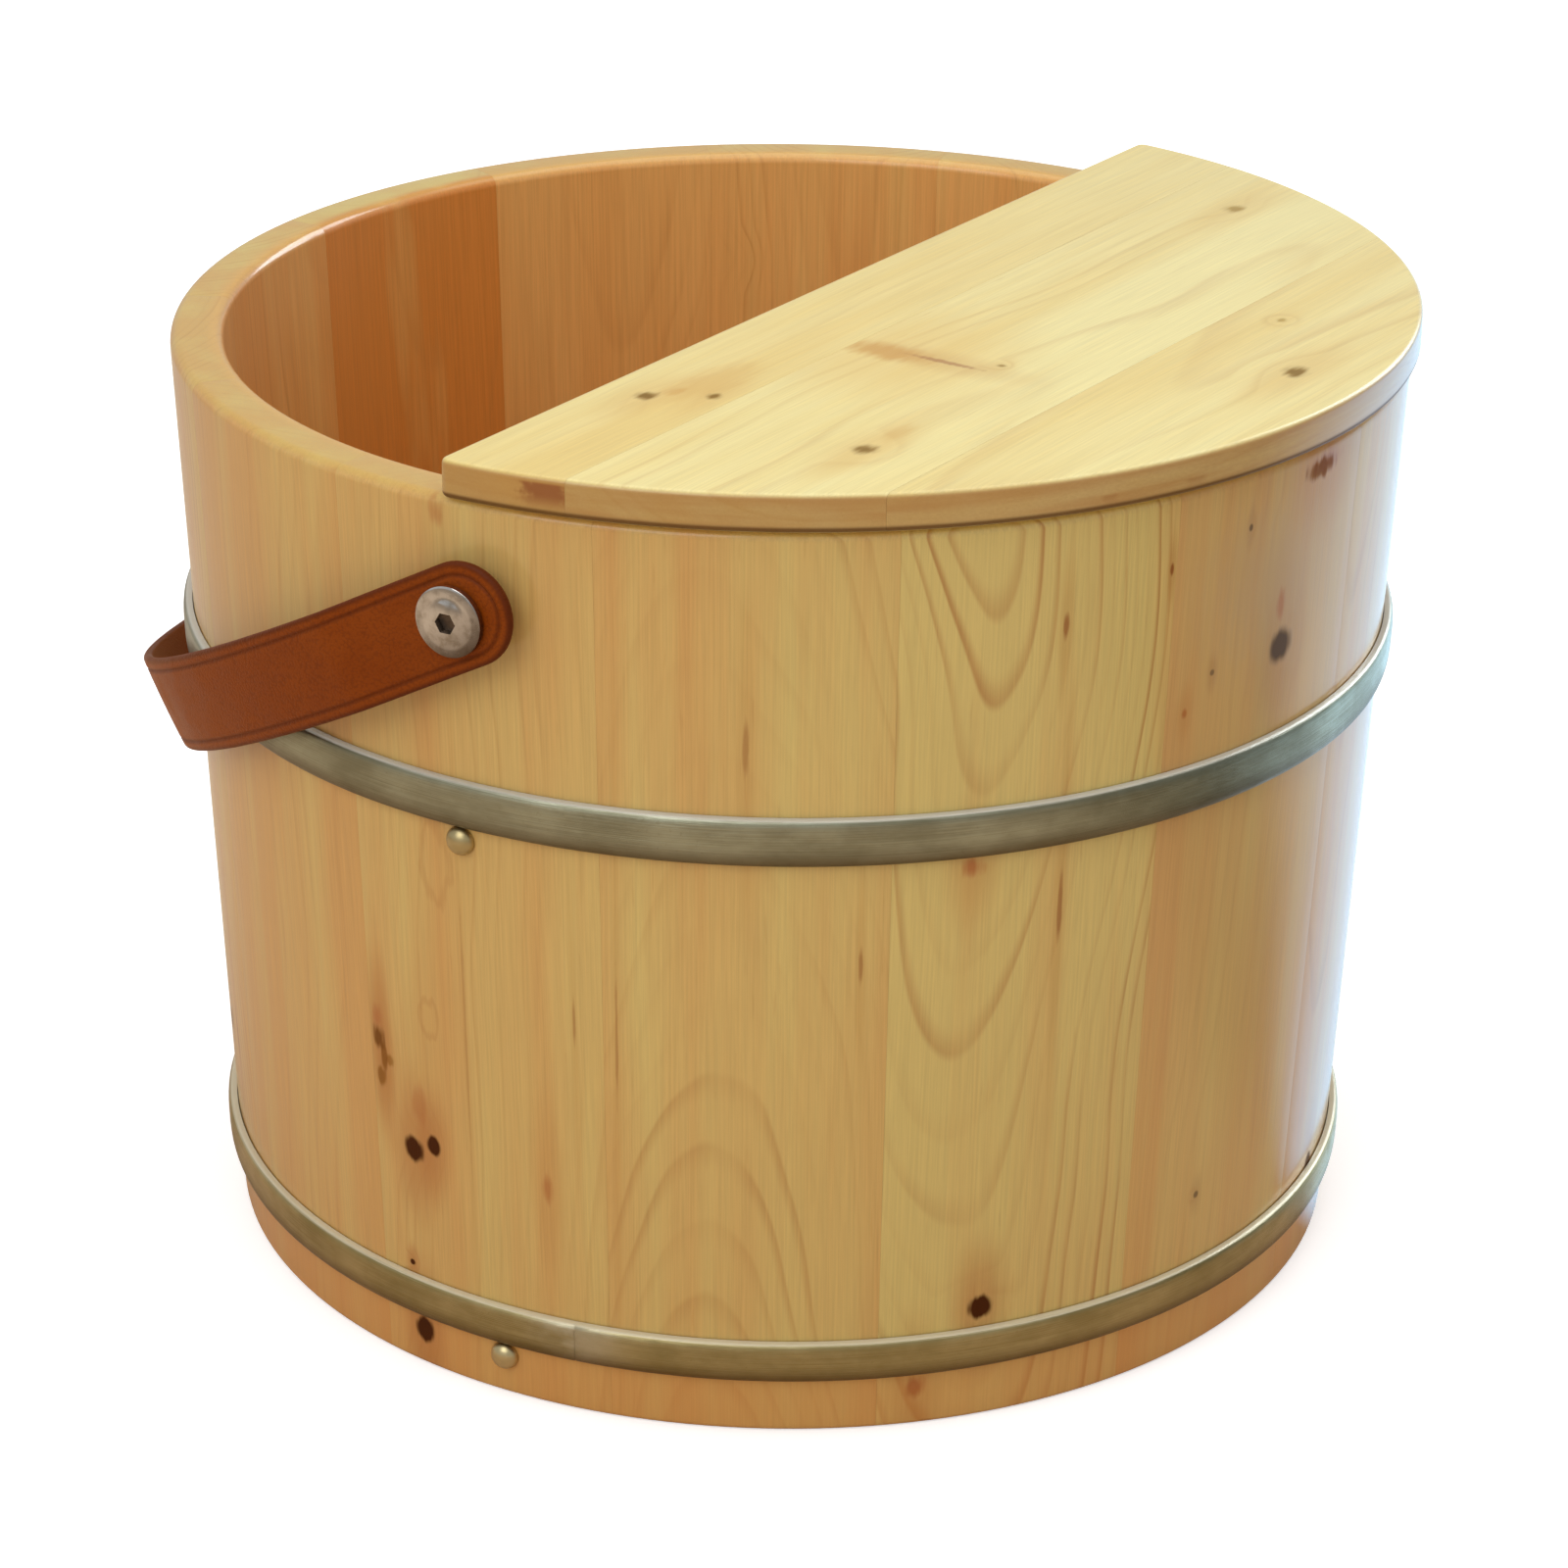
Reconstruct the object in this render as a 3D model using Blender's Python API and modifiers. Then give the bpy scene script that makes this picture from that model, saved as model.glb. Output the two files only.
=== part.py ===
"""Wooden foot tub: coopered staves in two hoops, a board bottom, a half lid and a leather bail strap.

Lengths are in metres and angles in degrees. Heights are measured from the ground, and the empty that carries
every piece lowers the tub so that the origin lies on its axis, on the upper face of the bottom boards.
"""

import math

import bmesh
import bpy
from mathutils import Vector

# Clearances
FIT_GAP = 0.0003  # between pieces that touch
SWING_GAP = 0.0028  # between the strap and the edge of the lid
LID_PLAY = 0.002  # between the ends of the lid battens and the inside of the rim
CUT_MARGIN = 0.01  # how far a cutter stands out of what it cuts

# Wall of staves
TUB_HEIGHT = 0.306
RIM_RADIUS = 0.200
FOOT_RADIUS = 0.187
WALL = 0.017
RIM_ROUND = 0.0035
FOOT_ROUND = 0.002
STAVE_COUNT = 14
STAVE_TURN = -1.4  # how far round the first stave's middle lies from the screws' axis
FACETS_PER_STAVE = 6

# Bottom boards, let into a groove in the staves
FLOOR_LIFT = 0.012  # underside of the boards above the ground
FLOOR_THICKNESS = 0.015
FLOOR_TONGUE = 0.009  # thickness left at the boards' rebated edge, which the groove holds
CROZE_DEPTH = 0.005
FLOOR_BOARD_COUNT = 3

# Dowels that join the edges of staves and of bottom boards
DOWEL_DIAMETER = 0.006
DOWEL_LENGTH = 0.024
STAVE_DOWEL_HEIGHT = 0.150
FLOOR_DOWEL_SPACING = 0.160

# Hoops and the nails that they rest on
UPPER_HOOP_BREADTH = 0.0155
LOWER_HOOP_BREADTH = 0.0138
HOOP_THICKNESS = 0.005
HOOP_SQUARENESS = 0.5  # 1 is a plain half ellipse, less gives squarer shoulders
HOOP_CROWN_STEPS = 6
UPPER_HOOP_HEIGHT = 0.2075
LOWER_HOOP_HEIGHT = 0.0265
NAIL_HEAD_DIAMETER = 0.0095
NAIL_HEAD_HEIGHT = 0.0038
NAIL_DIAMETER = 0.003
NAIL_LENGTH = 0.012
UPPER_NAIL_TURN = -2.05  # how far round the upper nails stand from the screws' axis
LOWER_NAIL_TURN = 0.3

# Half lid
LID_OVERHANG = 0.0025  # how far its round edge stands out past the rim
LID_SHORTFALL = 0.0125  # distance of its straight edge from the tub's axis
LID_THICKNESS = 0.012
LID_ROUND = 0.0018
LID_CORNER = 0.006  # radius of its two corners
LID_TURN = -5.9  # how far round it lies on the rim
FIRST_LID_BOARD = 0.041
SECOND_LID_BOARD = 0.081
BATTEN_SPACING = 0.120
BATTEN_WIDTH = 0.028
BATTEN_THICKNESS = 0.011
BATTEN_INSET = 0.012  # from the lid's straight edge to the ends of the battens
BATTEN_ROUND = 0.0015
BATTEN_SCREW_COUNT = 3
BATTEN_SCREW_INSET = 0.016  # from the ends of a batten to its outer screws
BATTEN_SCREW_DIAMETER = 0.004
BATTEN_SCREW_HEAD = 0.008
BATTEN_SCREW_BITE = 0.007  # how deep it goes into the lid

# Leather strap
PIVOT_DROP = 0.034  # from the rim down to the screws
STRAP_WIDTH = 0.0325
STRAP_THICKNESS = 0.0035
STRAP_END = 0.020  # from the screw to the rounded end
STRAP_LEG = 0.046  # straight length from the screw to the bend
STRAP_SLACK = 0.0325  # how far the strap reaches out past the wall's radius at the screws
STRAP_FACETS = 40
STRAP_END_FACETS = 5

# Handle screws, their spacers and the threaded inserts
SCREW_DIAMETER = 0.0076
SCREW_HEAD_DIAMETER = 0.022
SCREW_HEAD_HEIGHT = 0.0038
SCREW_BEVEL_WIDTH = 0.0034  # slope round the head's flat face
SCREW_BEVEL_DROP = 0.0016
SOCKET_WIDTH = 0.006  # across the flats of the hexagon
SOCKET_DEPTH = 0.0026
SCREW_CHAMFER = 0.001
SPACER_DIAMETER = 0.018
SEAT_DEPTH = 0.0008  # flat cut into the wall that the spacer sits on
INSERT_DIAMETER = 0.012
INSERT_SKIN = 0.004  # wood left behind the insert
ROUND_FACETS = 20
SMALL_FACETS = 12

# Sizes that follow from those above
FACETS = STAVE_COUNT * FACETS_PER_STAVE
FLOOR_HEIGHT = FLOOR_LIFT + FLOOR_THICKNESS
LID_RADIUS = RIM_RADIUS + LID_OVERHANG
PIVOT_HEIGHT = TUB_HEIGHT - PIVOT_DROP
TAPER = (RIM_RADIUS - FOOT_RADIUS) / TUB_HEIGHT

for leftover in list(bpy.data.objects):
    bpy.data.objects.remove(leftover)


def new_collection(name):
    """A collection linked to the scene."""
    collection = bpy.data.collections.new(name)
    bpy.context.scene.collection.children.link(collection)
    return collection


PARTS = new_collection("wooden_foot_tub")
CUTTERS = new_collection("cutters")
CUTTERS.hide_render = True


def linear(channel):
    """A colour channel of 0 to 255 as a linear value."""
    share = channel / 255
    return share / 12.92 if share <= 0.04045 else ((share + 0.055) / 1.055) ** 2.4


def finish(name, colour, roughness, metallic=0.0):
    """A Principled material from a colour as a screen shows it."""
    material = bpy.data.materials.new(name)
    material.use_nodes = True
    shader = material.node_tree.nodes["Principled BSDF"]
    shader.inputs["Base Color"].default_value = (*map(linear, colour), 1.0)
    shader.inputs["Roughness"].default_value = roughness
    shader.inputs["Metallic"].default_value = metallic
    return material


CEDAR = finish("lacquered_cedar", (206, 160, 100), 0.3)
LID_CEDAR = finish("lid_cedar", (232, 208, 146), 0.35)
HIDDEN_WOOD = finish("bare_cedar", (190, 140, 85), 0.6)
BAMBOO = finish("bamboo", (214, 190, 130), 0.6)
HOOP_METAL = finish("hoop_metal", (135, 135, 112), 0.35, 1.0)
POLISHED_STEEL = finish("polished_steel", (205, 203, 198), 0.15, 1.0)
ZINC = finish("zinc", (170, 168, 160), 0.4, 1.0)
LEATHER = finish("brown_leather", (128, 60, 26), 0.5)


def outer_radius(height):
    """Radius of the wall's outer face at a height above the ground."""
    return FOOT_RADIUS + TAPER * height


def inner_radius(height):
    """Radius of the wall's inner face at a height above the ground."""
    return outer_radius(height) - WALL


def croze_radius():
    """Radius of the bottom of the groove that holds the bottom boards."""
    return inner_radius(FLOOR_LIFT) + CROZE_DEPTH


def strap_face():
    """Distance of the strap's inner face from the tub's axis at the screws."""
    return LID_RADIUS + SWING_GAP


def seat_face():
    """Distance of the spacers' flat seat from the tub's axis."""
    return outer_radius(PIVOT_HEIGHT) - SEAT_DEPTH


def insert_length():
    """Length of a threaded insert: what the wall holds in front of its skin of wood."""
    return WALL - SEAT_DEPTH - INSERT_SKIN


def arc(centre, radius, start, end, steps=3):
    """Points of a profile along an arc about a centre, with its angles in degrees."""
    across, up = centre
    angles = [math.radians(start + (end - start) * step / steps) for step in range(steps + 1)]
    return [(across + radius * math.cos(angle), up + radius * math.sin(angle)) for angle in angles]


def ring_position(radius, angle, height):
    """The point at a radius, an angle in degrees and a height above the ground."""
    return Vector((radius * math.cos(math.radians(angle)), radius * math.sin(math.radians(angle)), height))


def facing(direction):
    """Rotation that turns a piece's own Z axis along a direction."""
    return Vector(direction).to_track_quat("Z", "Y").to_euler()


def empty(name, parent=None, location=(0, 0, 0), rotation=(0, 0, 0)):
    """A plain axis that carries other pieces."""
    holder = bpy.data.objects.new(name, None)
    holder.parent = parent
    holder.location = location
    holder.rotation_euler = rotation
    PARTS.objects.link(holder)
    return holder


def part(name, mesh, material, parent, location=(0, 0, 0), rotation=(0, 0, 0)):
    """One named piece of the tub."""
    piece = bpy.data.objects.new(name, mesh)
    piece.parent = parent
    piece.location = location
    piece.rotation_euler = rotation
    mesh.materials.append(material)
    PARTS.objects.link(piece)
    return piece


def cutter(name, mesh, parent, location=(0, 0, 0), rotation=(0, 0, 0)):
    """A hidden shape that a Boolean takes from, or keeps of, other pieces."""
    shape = bpy.data.objects.new(name, mesh)
    shape.parent = parent
    shape.location = location
    shape.rotation_euler = rotation
    shape.hide_render = True
    shape.display_type = "WIRE"
    CUTTERS.objects.link(shape)
    return shape


def combine(piece, other, operation="DIFFERENCE"):
    """Cuts a piece with another shape, or keeps only what lies in it."""
    modifier = piece.modifiers.new(f"{operation.title()} {other.name}", "BOOLEAN")
    modifier.operation = operation
    modifier.solver = "EXACT"
    modifier.object = other


def mesh_of(name, shape):
    """A mesh made from a bmesh, with its faces pointing out and its round faces smooth."""
    bmesh.ops.recalc_face_normals(shape, faces=shape.faces)
    mesh = bpy.data.meshes.new(name)
    shape.to_mesh(mesh)
    shape.free()
    mesh.shade_smooth()
    mesh.set_sharp_from_angle(angle=math.radians(30))
    return mesh


def box_mesh(name, low, high):
    """A box between two corners."""
    low, high = Vector(low), Vector(high)
    shape = bmesh.new()
    bmesh.ops.create_cube(shape, size=1.0)
    bmesh.ops.scale(shape, vec=high - low, verts=shape.verts)
    bmesh.ops.translate(shape, vec=(low + high) / 2, verts=shape.verts)
    return mesh_of(name, shape)


def rod_mesh(name, diameter, length, facets=SMALL_FACETS):
    """A rod along Z, with its middle at the origin."""
    shape = bmesh.new()
    bmesh.ops.create_cone(
        shape, cap_ends=True, segments=facets, radius1=diameter / 2, radius2=diameter / 2, depth=length
    )
    return mesh_of(name, shape)


def turn(piece, facets):
    """Turns a piece's profile about its own Z axis."""
    modifier = piece.modifiers.new("Turn", "SCREW")
    modifier.steps = modifier.render_steps = facets
    modifier.use_merge_vertices = True
    modifier.merge_threshold = 0.00001
    modifier.use_smooth_shade = True


def profile_mesh(name, points, closed):
    """A profile of (radius, height) points at +X, running down its outer side."""
    mesh = bpy.data.meshes.new(name)
    edges = [(index, index + 1) for index in range(len(points) - 1)]
    if closed:
        edges.append((len(points) - 1, 0))
    mesh.from_pydata([(radius, 0, height) for radius, height in points], edges, [])
    return mesh


def sleeve_profile(bore, diameter, low, high):
    """Section of a plain ring or sleeve."""
    return [(diameter / 2, high), (diameter / 2, low), (bore / 2, low), (bore / 2, high)]


# The wall


def stave_profile():
    """Section of a stave: rounded rim and foot, with the groove for the bottom boards."""
    rim = TUB_HEIGHT - RIM_ROUND
    groove_low = FLOOR_LIFT - FIT_GAP
    groove_high = FLOOR_LIFT + FLOOR_TONGUE + FIT_GAP
    points = arc((outer_radius(FOOT_ROUND) - FOOT_ROUND, FOOT_ROUND), FOOT_ROUND, -90, 0, 2)
    points += arc((outer_radius(rim) - RIM_ROUND, rim), RIM_ROUND, 0, 90)
    points += arc((inner_radius(rim) + RIM_ROUND, rim), RIM_ROUND, 90, 180)
    points += [(inner_radius(groove_high), groove_high), (croze_radius(), groove_high)]
    points += [(croze_radius(), groove_low), (inner_radius(groove_low), groove_low)]
    points += arc((inner_radius(FOOT_ROUND) + FOOT_ROUND, FOOT_ROUND), FOOT_ROUND, 180, 270, 2)
    return points


def stave_mesh(name, angle):
    """A stave: its section swept through its share of the circle, less the gap at its seams."""
    seam = math.degrees(FIT_GAP / inner_radius(0))
    sweep = 360 / STAVE_COUNT - seam
    start = math.radians(angle - sweep / 2)
    shape = bmesh.new()
    section = shape.faces.new(
        shape.verts.new((radius * math.cos(start), radius * math.sin(start), height))
        for radius, height in stave_profile()
    )
    bmesh.ops.spin(
        shape,
        geom=[section, *section.edges, *section.verts],
        cent=(0, 0, 0),
        axis=(0, 0, 1),
        angle=math.radians(sweep),
        steps=FACETS_PER_STAVE,
    )
    return mesh_of(name, shape)


def angle_between(first, second):
    """The smaller angle between two directions round the tub, in degrees."""
    return abs((first - second + 180) % 360 - 180)


def add_staves(tub, hole_cutters):
    """The staves, each drilled for its dowels and for whatever is fastened in it."""
    share = 360 / STAVE_COUNT
    middle = outer_radius(STAVE_DOWEL_HEIGHT) - WALL / 2
    for number in range(STAVE_COUNT):
        seam_angle = 180 + STAVE_TURN + (number + 0.5) * share
        place = ring_position(middle, seam_angle, STAVE_DOWEL_HEIGHT)
        along = facing(ring_position(1, seam_angle + 90, 0))
        name = f"stave_dowel_{number + 1:02d}"
        part(name, rod_mesh(name, DOWEL_DIAMETER, DOWEL_LENGTH), BAMBOO, tub, place, along)
        hole = rod_mesh(f"{name}_hole", DOWEL_DIAMETER + 2 * FIT_GAP, DOWEL_LENGTH + 2 * FIT_GAP)
        hole_cutters.append((seam_angle, cutter(f"{name}_hole", hole, tub, place, along)))
    reach = share / 2 + math.degrees(SPACER_DIAMETER / FOOT_RADIUS)
    for number in range(STAVE_COUNT):
        angle = 180 + STAVE_TURN + number * share
        name = f"stave_{number + 1:02d}"
        stave = part(name, stave_mesh(name, angle), CEDAR, tub)
        for hole_angle, hole in hole_cutters:
            if angle_between(angle, hole_angle) < reach:
                combine(stave, hole)


def add_floor(tub):
    """The bottom: boards that run along X, cut from one rebated disc and dowelled edge to edge."""
    radius = croze_radius() - FIT_GAP
    shoulder = inner_radius(FLOOR_LIFT + FLOOR_TONGUE) - FIT_GAP
    width = 2 * radius / FLOOR_BOARD_COUNT
    ring = sleeve_profile(2 * shoulder, 2 * (radius + CUT_MARGIN), FLOOR_TONGUE, FLOOR_THICKNESS + CUT_MARGIN)
    rebate = cutter("floor_rebate", profile_mesh("floor_rebate", ring, True), tub, (0, 0, FLOOR_LIFT))
    turn(rebate, FACETS)
    place = (0, 0, FLOOR_LIFT + FLOOR_THICKNESS / 2)
    holes = []
    for seam in range(1, FLOOR_BOARD_COUNT):
        for side, label in ((-1, "a"), (1, "b")):
            name = f"floor_dowel_{seam}{label}"
            where = (side * FLOOR_DOWEL_SPACING / 2, seam * width - radius, place[2])
            along = facing((0, 1, 0))
            part(name, rod_mesh(name, DOWEL_DIAMETER, DOWEL_LENGTH), BAMBOO, tub, where, along)
            hole = rod_mesh(f"{name}_hole", DOWEL_DIAMETER + 2 * FIT_GAP, DOWEL_LENGTH + 2 * FIT_GAP)
            holes.append((seam, cutter(f"{name}_hole", hole, tub, where, along)))
    half_height = FLOOR_THICKNESS / 2 + CUT_MARGIN
    for number in range(FLOOR_BOARD_COUNT):
        name = f"floor_board_{number + 1}"
        board = part(name, rod_mesh(name, 2 * radius, FLOOR_THICKNESS, FACETS), HIDDEN_WOOD, tub, place)
        low = number * width - radius + (FIT_GAP / 2 if number else -CUT_MARGIN)
        last = number == FLOOR_BOARD_COUNT - 1
        high = (number + 1) * width - radius + (CUT_MARGIN if last else -FIT_GAP / 2)
        corner = radius + CUT_MARGIN
        strip = box_mesh(f"{name}_strip", (-corner, low, -half_height), (corner, high, half_height))
        combine(board, rebate)
        combine(board, cutter(f"{name}_strip", strip, tub, place), "INTERSECT")
        for seam, hole in holes:
            if seam in (number, number + 1):
                combine(board, hole)


# The hoops


def hoop_profile(height, breadth):
    """Section of a hoop: flat against the tapered wall, crowned on the outside."""
    points = []
    for across, up in arc((0, 0), 1, 90, -90, HOOP_CROWN_STEPS):
        rise = math.copysign(abs(up) ** HOOP_SQUARENESS, up) * breadth / 2
        bulge = max(across, 0) ** HOOP_SQUARENESS * HOOP_THICKNESS
        points.append((outer_radius(height + rise) + FIT_GAP + bulge, height + rise))
    return points


def nail_shank(grow=0.0):
    """Section of a nail's shank below its head, from the shank's edge to its point."""
    radius = NAIL_DIAMETER / 2 + grow
    tip = -NAIL_LENGTH - grow
    return [(radius, 0), (radius, tip + NAIL_DIAMETER), (0, tip)]


def nail_profile():
    """Section of a dome-head nail along Z, with the underside of its head at the origin."""
    dome = arc((0, 0), 1, 90, 0, 4)
    head = [(NAIL_HEAD_DIAMETER / 2 * across, NAIL_HEAD_HEIGHT * up) for across, up in dome]
    return head + nail_shank()


def nail_hole_profile():
    """Section of the hole that a nail's shank fills."""
    shank = nail_shank(FIT_GAP)
    return [(0, CUT_MARGIN), (shank[0][0], CUT_MARGIN), *shank[1:]]


def add_hoops(tub):
    """Both hoops with the nails under them. Returns the nails' hole cutters with their angles."""
    holes = []
    slope = math.atan(TAPER)
    levels = (
        ("upper", UPPER_HOOP_HEIGHT, UPPER_HOOP_BREADTH, UPPER_NAIL_TURN),
        ("lower", LOWER_HOOP_HEIGHT, LOWER_HOOP_BREADTH, LOWER_NAIL_TURN),
    )
    for level, height, breadth, turned_by in levels:
        name = f"{level}_hoop"
        hoop = part(name, profile_mesh(name, hoop_profile(height, breadth), True), HOOP_METAL, tub)
        turn(hoop, FACETS)
        for side, base_angle in (("near", 180), ("far", 0)):
            angle = base_angle + turned_by
            nail_height = height - breadth / 2 - FIT_GAP - NAIL_HEAD_DIAMETER / 2
            outward = ring_position(math.cos(slope), angle, -math.sin(slope))
            place = ring_position(outer_radius(nail_height), angle, nail_height) + FIT_GAP * outward
            name = f"{level}_nail_{side}"
            nail_mesh = profile_mesh(name, nail_profile(), False)
            nail = part(name, nail_mesh, HOOP_METAL, tub, place, facing(outward))
            turn(nail, SMALL_FACETS)
            hole_mesh = profile_mesh(f"{name}_hole", nail_hole_profile(), False)
            hole = cutter(f"{name}_hole", hole_mesh, tub, place, facing(outward))
            turn(hole, SMALL_FACETS)
            holes.append((angle, hole))
    return holes


# The half lid


def lid_outline():
    """Outline of the half lid: its round edge, and its straight edge between two rounded corners."""
    reach = LID_RADIUS - LID_CORNER
    along = -LID_SHORTFALL - LID_CORNER
    across = math.sqrt(reach**2 - along**2)
    cut = math.degrees(math.asin(-along / reach))
    outline = arc((0, 0), LID_RADIUS, 180 + cut, 360 - cut, FACETS // 2)
    outline += arc((across, along), LID_CORNER, -cut, 90)[1:]
    return outline + arc((-across, along), LID_CORNER, 90, 180 + cut)[:-1]


def lid_mesh(name):
    """The whole half lid with rounded edges, its underside at the origin and its straight edge along X."""
    shape = bmesh.new()
    underside = shape.faces.new(shape.verts.new((across, along, 0)) for across, along in lid_outline())
    raised = bmesh.ops.extrude_face_region(shape, geom=[underside])["geom"]
    top = [item for item in raised if isinstance(item, bmesh.types.BMVert)]
    bmesh.ops.translate(shape, vec=(0, 0, LID_THICKNESS), verts=top)
    rims = [edge for edge in shape.edges if edge.verts[0].co.z == edge.verts[1].co.z]
    bmesh.ops.bevel(shape, geom=rims, offset=LID_ROUND, segments=2, profile=0.5, affect="EDGES")
    return mesh_of(name, shape)


def batten_ends():
    """Where a batten starts behind the lid's straight edge, and where it ends inside the rim."""
    reach = RIM_RADIUS - WALL - LID_PLAY
    corner = BATTEN_SPACING / 2 + BATTEN_WIDTH / 2
    return -LID_SHORTFALL - BATTEN_INSET, -math.sqrt(reach**2 - corner**2)


def batten_screw_profile(grow=0.0):
    """Section of a countersunk wood screw that points up, with its head in the batten's underside."""
    underside = -FIT_GAP - BATTEN_THICKNESS
    base = underside - (CUT_MARGIN if grow else -FIT_GAP)
    head = BATTEN_SCREW_HEAD / 2 + grow
    shank = BATTEN_SCREW_DIAMETER / 2 + grow
    tip = BATTEN_SCREW_BITE + grow
    neck = underside + FIT_GAP + (BATTEN_SCREW_HEAD - BATTEN_SCREW_DIAMETER) / 2 + grow
    rim = [(head, underside + FIT_GAP + grow)] if grow else []
    return [(0, tip), (shank, tip - shank), (shank, neck), *rim, (head, base), (0, base)]


def add_lid(tub):
    """The half lid: three boards on two screwed battens. It all hangs on one empty at its seat on the rim."""
    seat = empty("lid_seat", tub, (0, 0, TUB_HEIGHT + FIT_GAP), (0, 0, math.radians(LID_TURN)))
    start, end = batten_ends()
    pilot_holes = []
    for side, label in ((-1, "near"), (1, "far")):
        centre = side * BATTEN_SPACING / 2
        name = f"lid_batten_{label}"
        low = (centre - BATTEN_WIDTH / 2, end, -FIT_GAP - BATTEN_THICKNESS)
        batten_mesh = box_mesh(name, low, (centre + BATTEN_WIDTH / 2, start, -FIT_GAP))
        batten = part(name, batten_mesh, HIDDEN_WOOD, seat)
        rounding = batten.modifiers.new("Round", "BEVEL")
        rounding.width = BATTEN_ROUND
        rounding.segments = 2
        first, last = start - BATTEN_SCREW_INSET, end + BATTEN_SCREW_INSET
        for number in range(BATTEN_SCREW_COUNT):
            place = (centre, first + (last - first) * number / (BATTEN_SCREW_COUNT - 1), 0)
            name = f"batten_screw_{label}_{number + 1}"
            screw = part(name, profile_mesh(name, batten_screw_profile(), False), ZINC, seat, place)
            turn(screw, SMALL_FACETS)
            hole_mesh = profile_mesh(f"{name}_hole", batten_screw_profile(FIT_GAP), False)
            hole = cutter(f"{name}_hole", hole_mesh, seat, place)
            turn(hole, SMALL_FACETS)
            combine(batten, hole)
            pilot_holes.append(hole)
    edge = LID_RADIUS + CUT_MARGIN
    first_seam = -LID_SHORTFALL - FIRST_LID_BOARD
    second_seam = first_seam - SECOND_LID_BOARD
    strips = (
        (first_seam + FIT_GAP / 2, CUT_MARGIN),
        (second_seam + FIT_GAP / 2, first_seam - FIT_GAP / 2),
        (-edge, second_seam - FIT_GAP / 2),
    )
    for number, (low, high) in enumerate(strips, start=1):
        name = f"lid_board_{number}"
        board = part(name, lid_mesh(name), LID_CEDAR, seat)
        strip = box_mesh(f"{name}_strip", (-edge, low, -CUT_MARGIN), (edge, high, LID_THICKNESS + CUT_MARGIN))
        combine(board, cutter(f"{name}_strip", strip, seat), "INTERSECT")
        for hole in pilot_holes:
            combine(board, hole)


# The strap and its pivots


def strap_rest_tilt():
    """How far below level the strap hangs when its lower edge rests on the far side of the wall."""
    reach = outer_radius(PIVOT_HEIGHT) + STRAP_SLACK - STRAP_THICKNESS / 2
    across = reach + TAPER * STRAP_WIDTH / 2
    down = TAPER * reach - STRAP_WIDTH / 2
    wall = outer_radius(PIVOT_HEIGHT) + FIT_GAP
    return math.atan2(down, across) + math.acos(wall / math.hypot(across, down))


def strap_stations():
    """Points (across, along, half width) down the strap: rounded end, straight leg and half of an oval bend."""
    half = STRAP_WIDTH / 2
    span = strap_face() + STRAP_THICKNESS / 2
    reach = outer_radius(PIVOT_HEIGHT) + STRAP_SLACK
    start = math.asin(STRAP_LEG / reach)
    bulge = span / math.cos(start)
    rounding = arc((half - STRAP_END, 0), half, 180, 90, STRAP_END_FACETS)
    stations = [(span, along, side) for along, side in rounding]
    for step in range(STRAP_FACETS // 2 + 1):
        angle = start + (math.pi / 2 - start) * 2 * step / STRAP_FACETS
        stations.append((bulge * math.cos(angle), reach * math.sin(angle), half))
    return stations


def add_strap(axis):
    """The bail strap, bent round the open side of the tub and bored for its two screws."""
    half_way = strap_stations()
    stations = half_way + [(-across, along, half) for across, along, half in reversed(half_way[:-1])]
    shape = bmesh.new()
    rows = []
    for across, along, half in stations:
        sides = (half, -half) if half > FIT_GAP else (0.0,)
        rows.append([shape.verts.new((across, along, side)) for side in sides])
    for row, following in zip(rows, rows[1:]):
        shape.faces.new([*row, *reversed(following)])
    strap = part("leather_strap", mesh_of("leather_strap", shape), LEATHER, axis)
    skin = strap.modifiers.new("Thickness", "SOLIDIFY")
    skin.thickness = STRAP_THICKNESS
    skin.offset = 0.0
    skin.use_even_offset = True
    for side, label in ((-1, "near"), (1, "far")):
        hole = rod_mesh(f"strap_hole_{label}", SCREW_DIAMETER + 2 * FIT_GAP, 2 * CUT_MARGIN, ROUND_FACETS)
        place = (side * strap_face(), 0, 0)
        combine(strap, cutter(f"strap_hole_{label}", hole, axis, place, facing((1, 0, 0))))


def screw_profile():
    """Section of a handle screw along Z, with the underside of its head at the origin."""
    radius = SCREW_HEAD_DIAMETER / 2
    shank = SCREW_DIAMETER / 2
    tip = seat_face() - insert_length() + SCREW_CHAMFER - strap_face() - STRAP_THICKNESS - FIT_GAP
    return [
        (0, SCREW_HEAD_HEIGHT),
        (radius - SCREW_BEVEL_WIDTH, SCREW_HEAD_HEIGHT),
        (radius, SCREW_HEAD_HEIGHT - SCREW_BEVEL_DROP),
        (radius, 0),
        (shank, 0),
        (shank, tip + SCREW_CHAMFER),
        (shank - SCREW_CHAMFER, tip),
        (0, tip),
    ]


def seat_profile():
    """Section of the hole that a threaded insert sits in, with the flat seat of the spacer before it."""
    seat = SPACER_DIAMETER / 2 + FIT_GAP
    hole = INSERT_DIAMETER / 2 + FIT_GAP
    bottom = -insert_length() - FIT_GAP
    return [(0, CUT_MARGIN), (seat, CUT_MARGIN), (seat, 0), (hole, 0), (hole, bottom), (0, bottom)]


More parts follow.
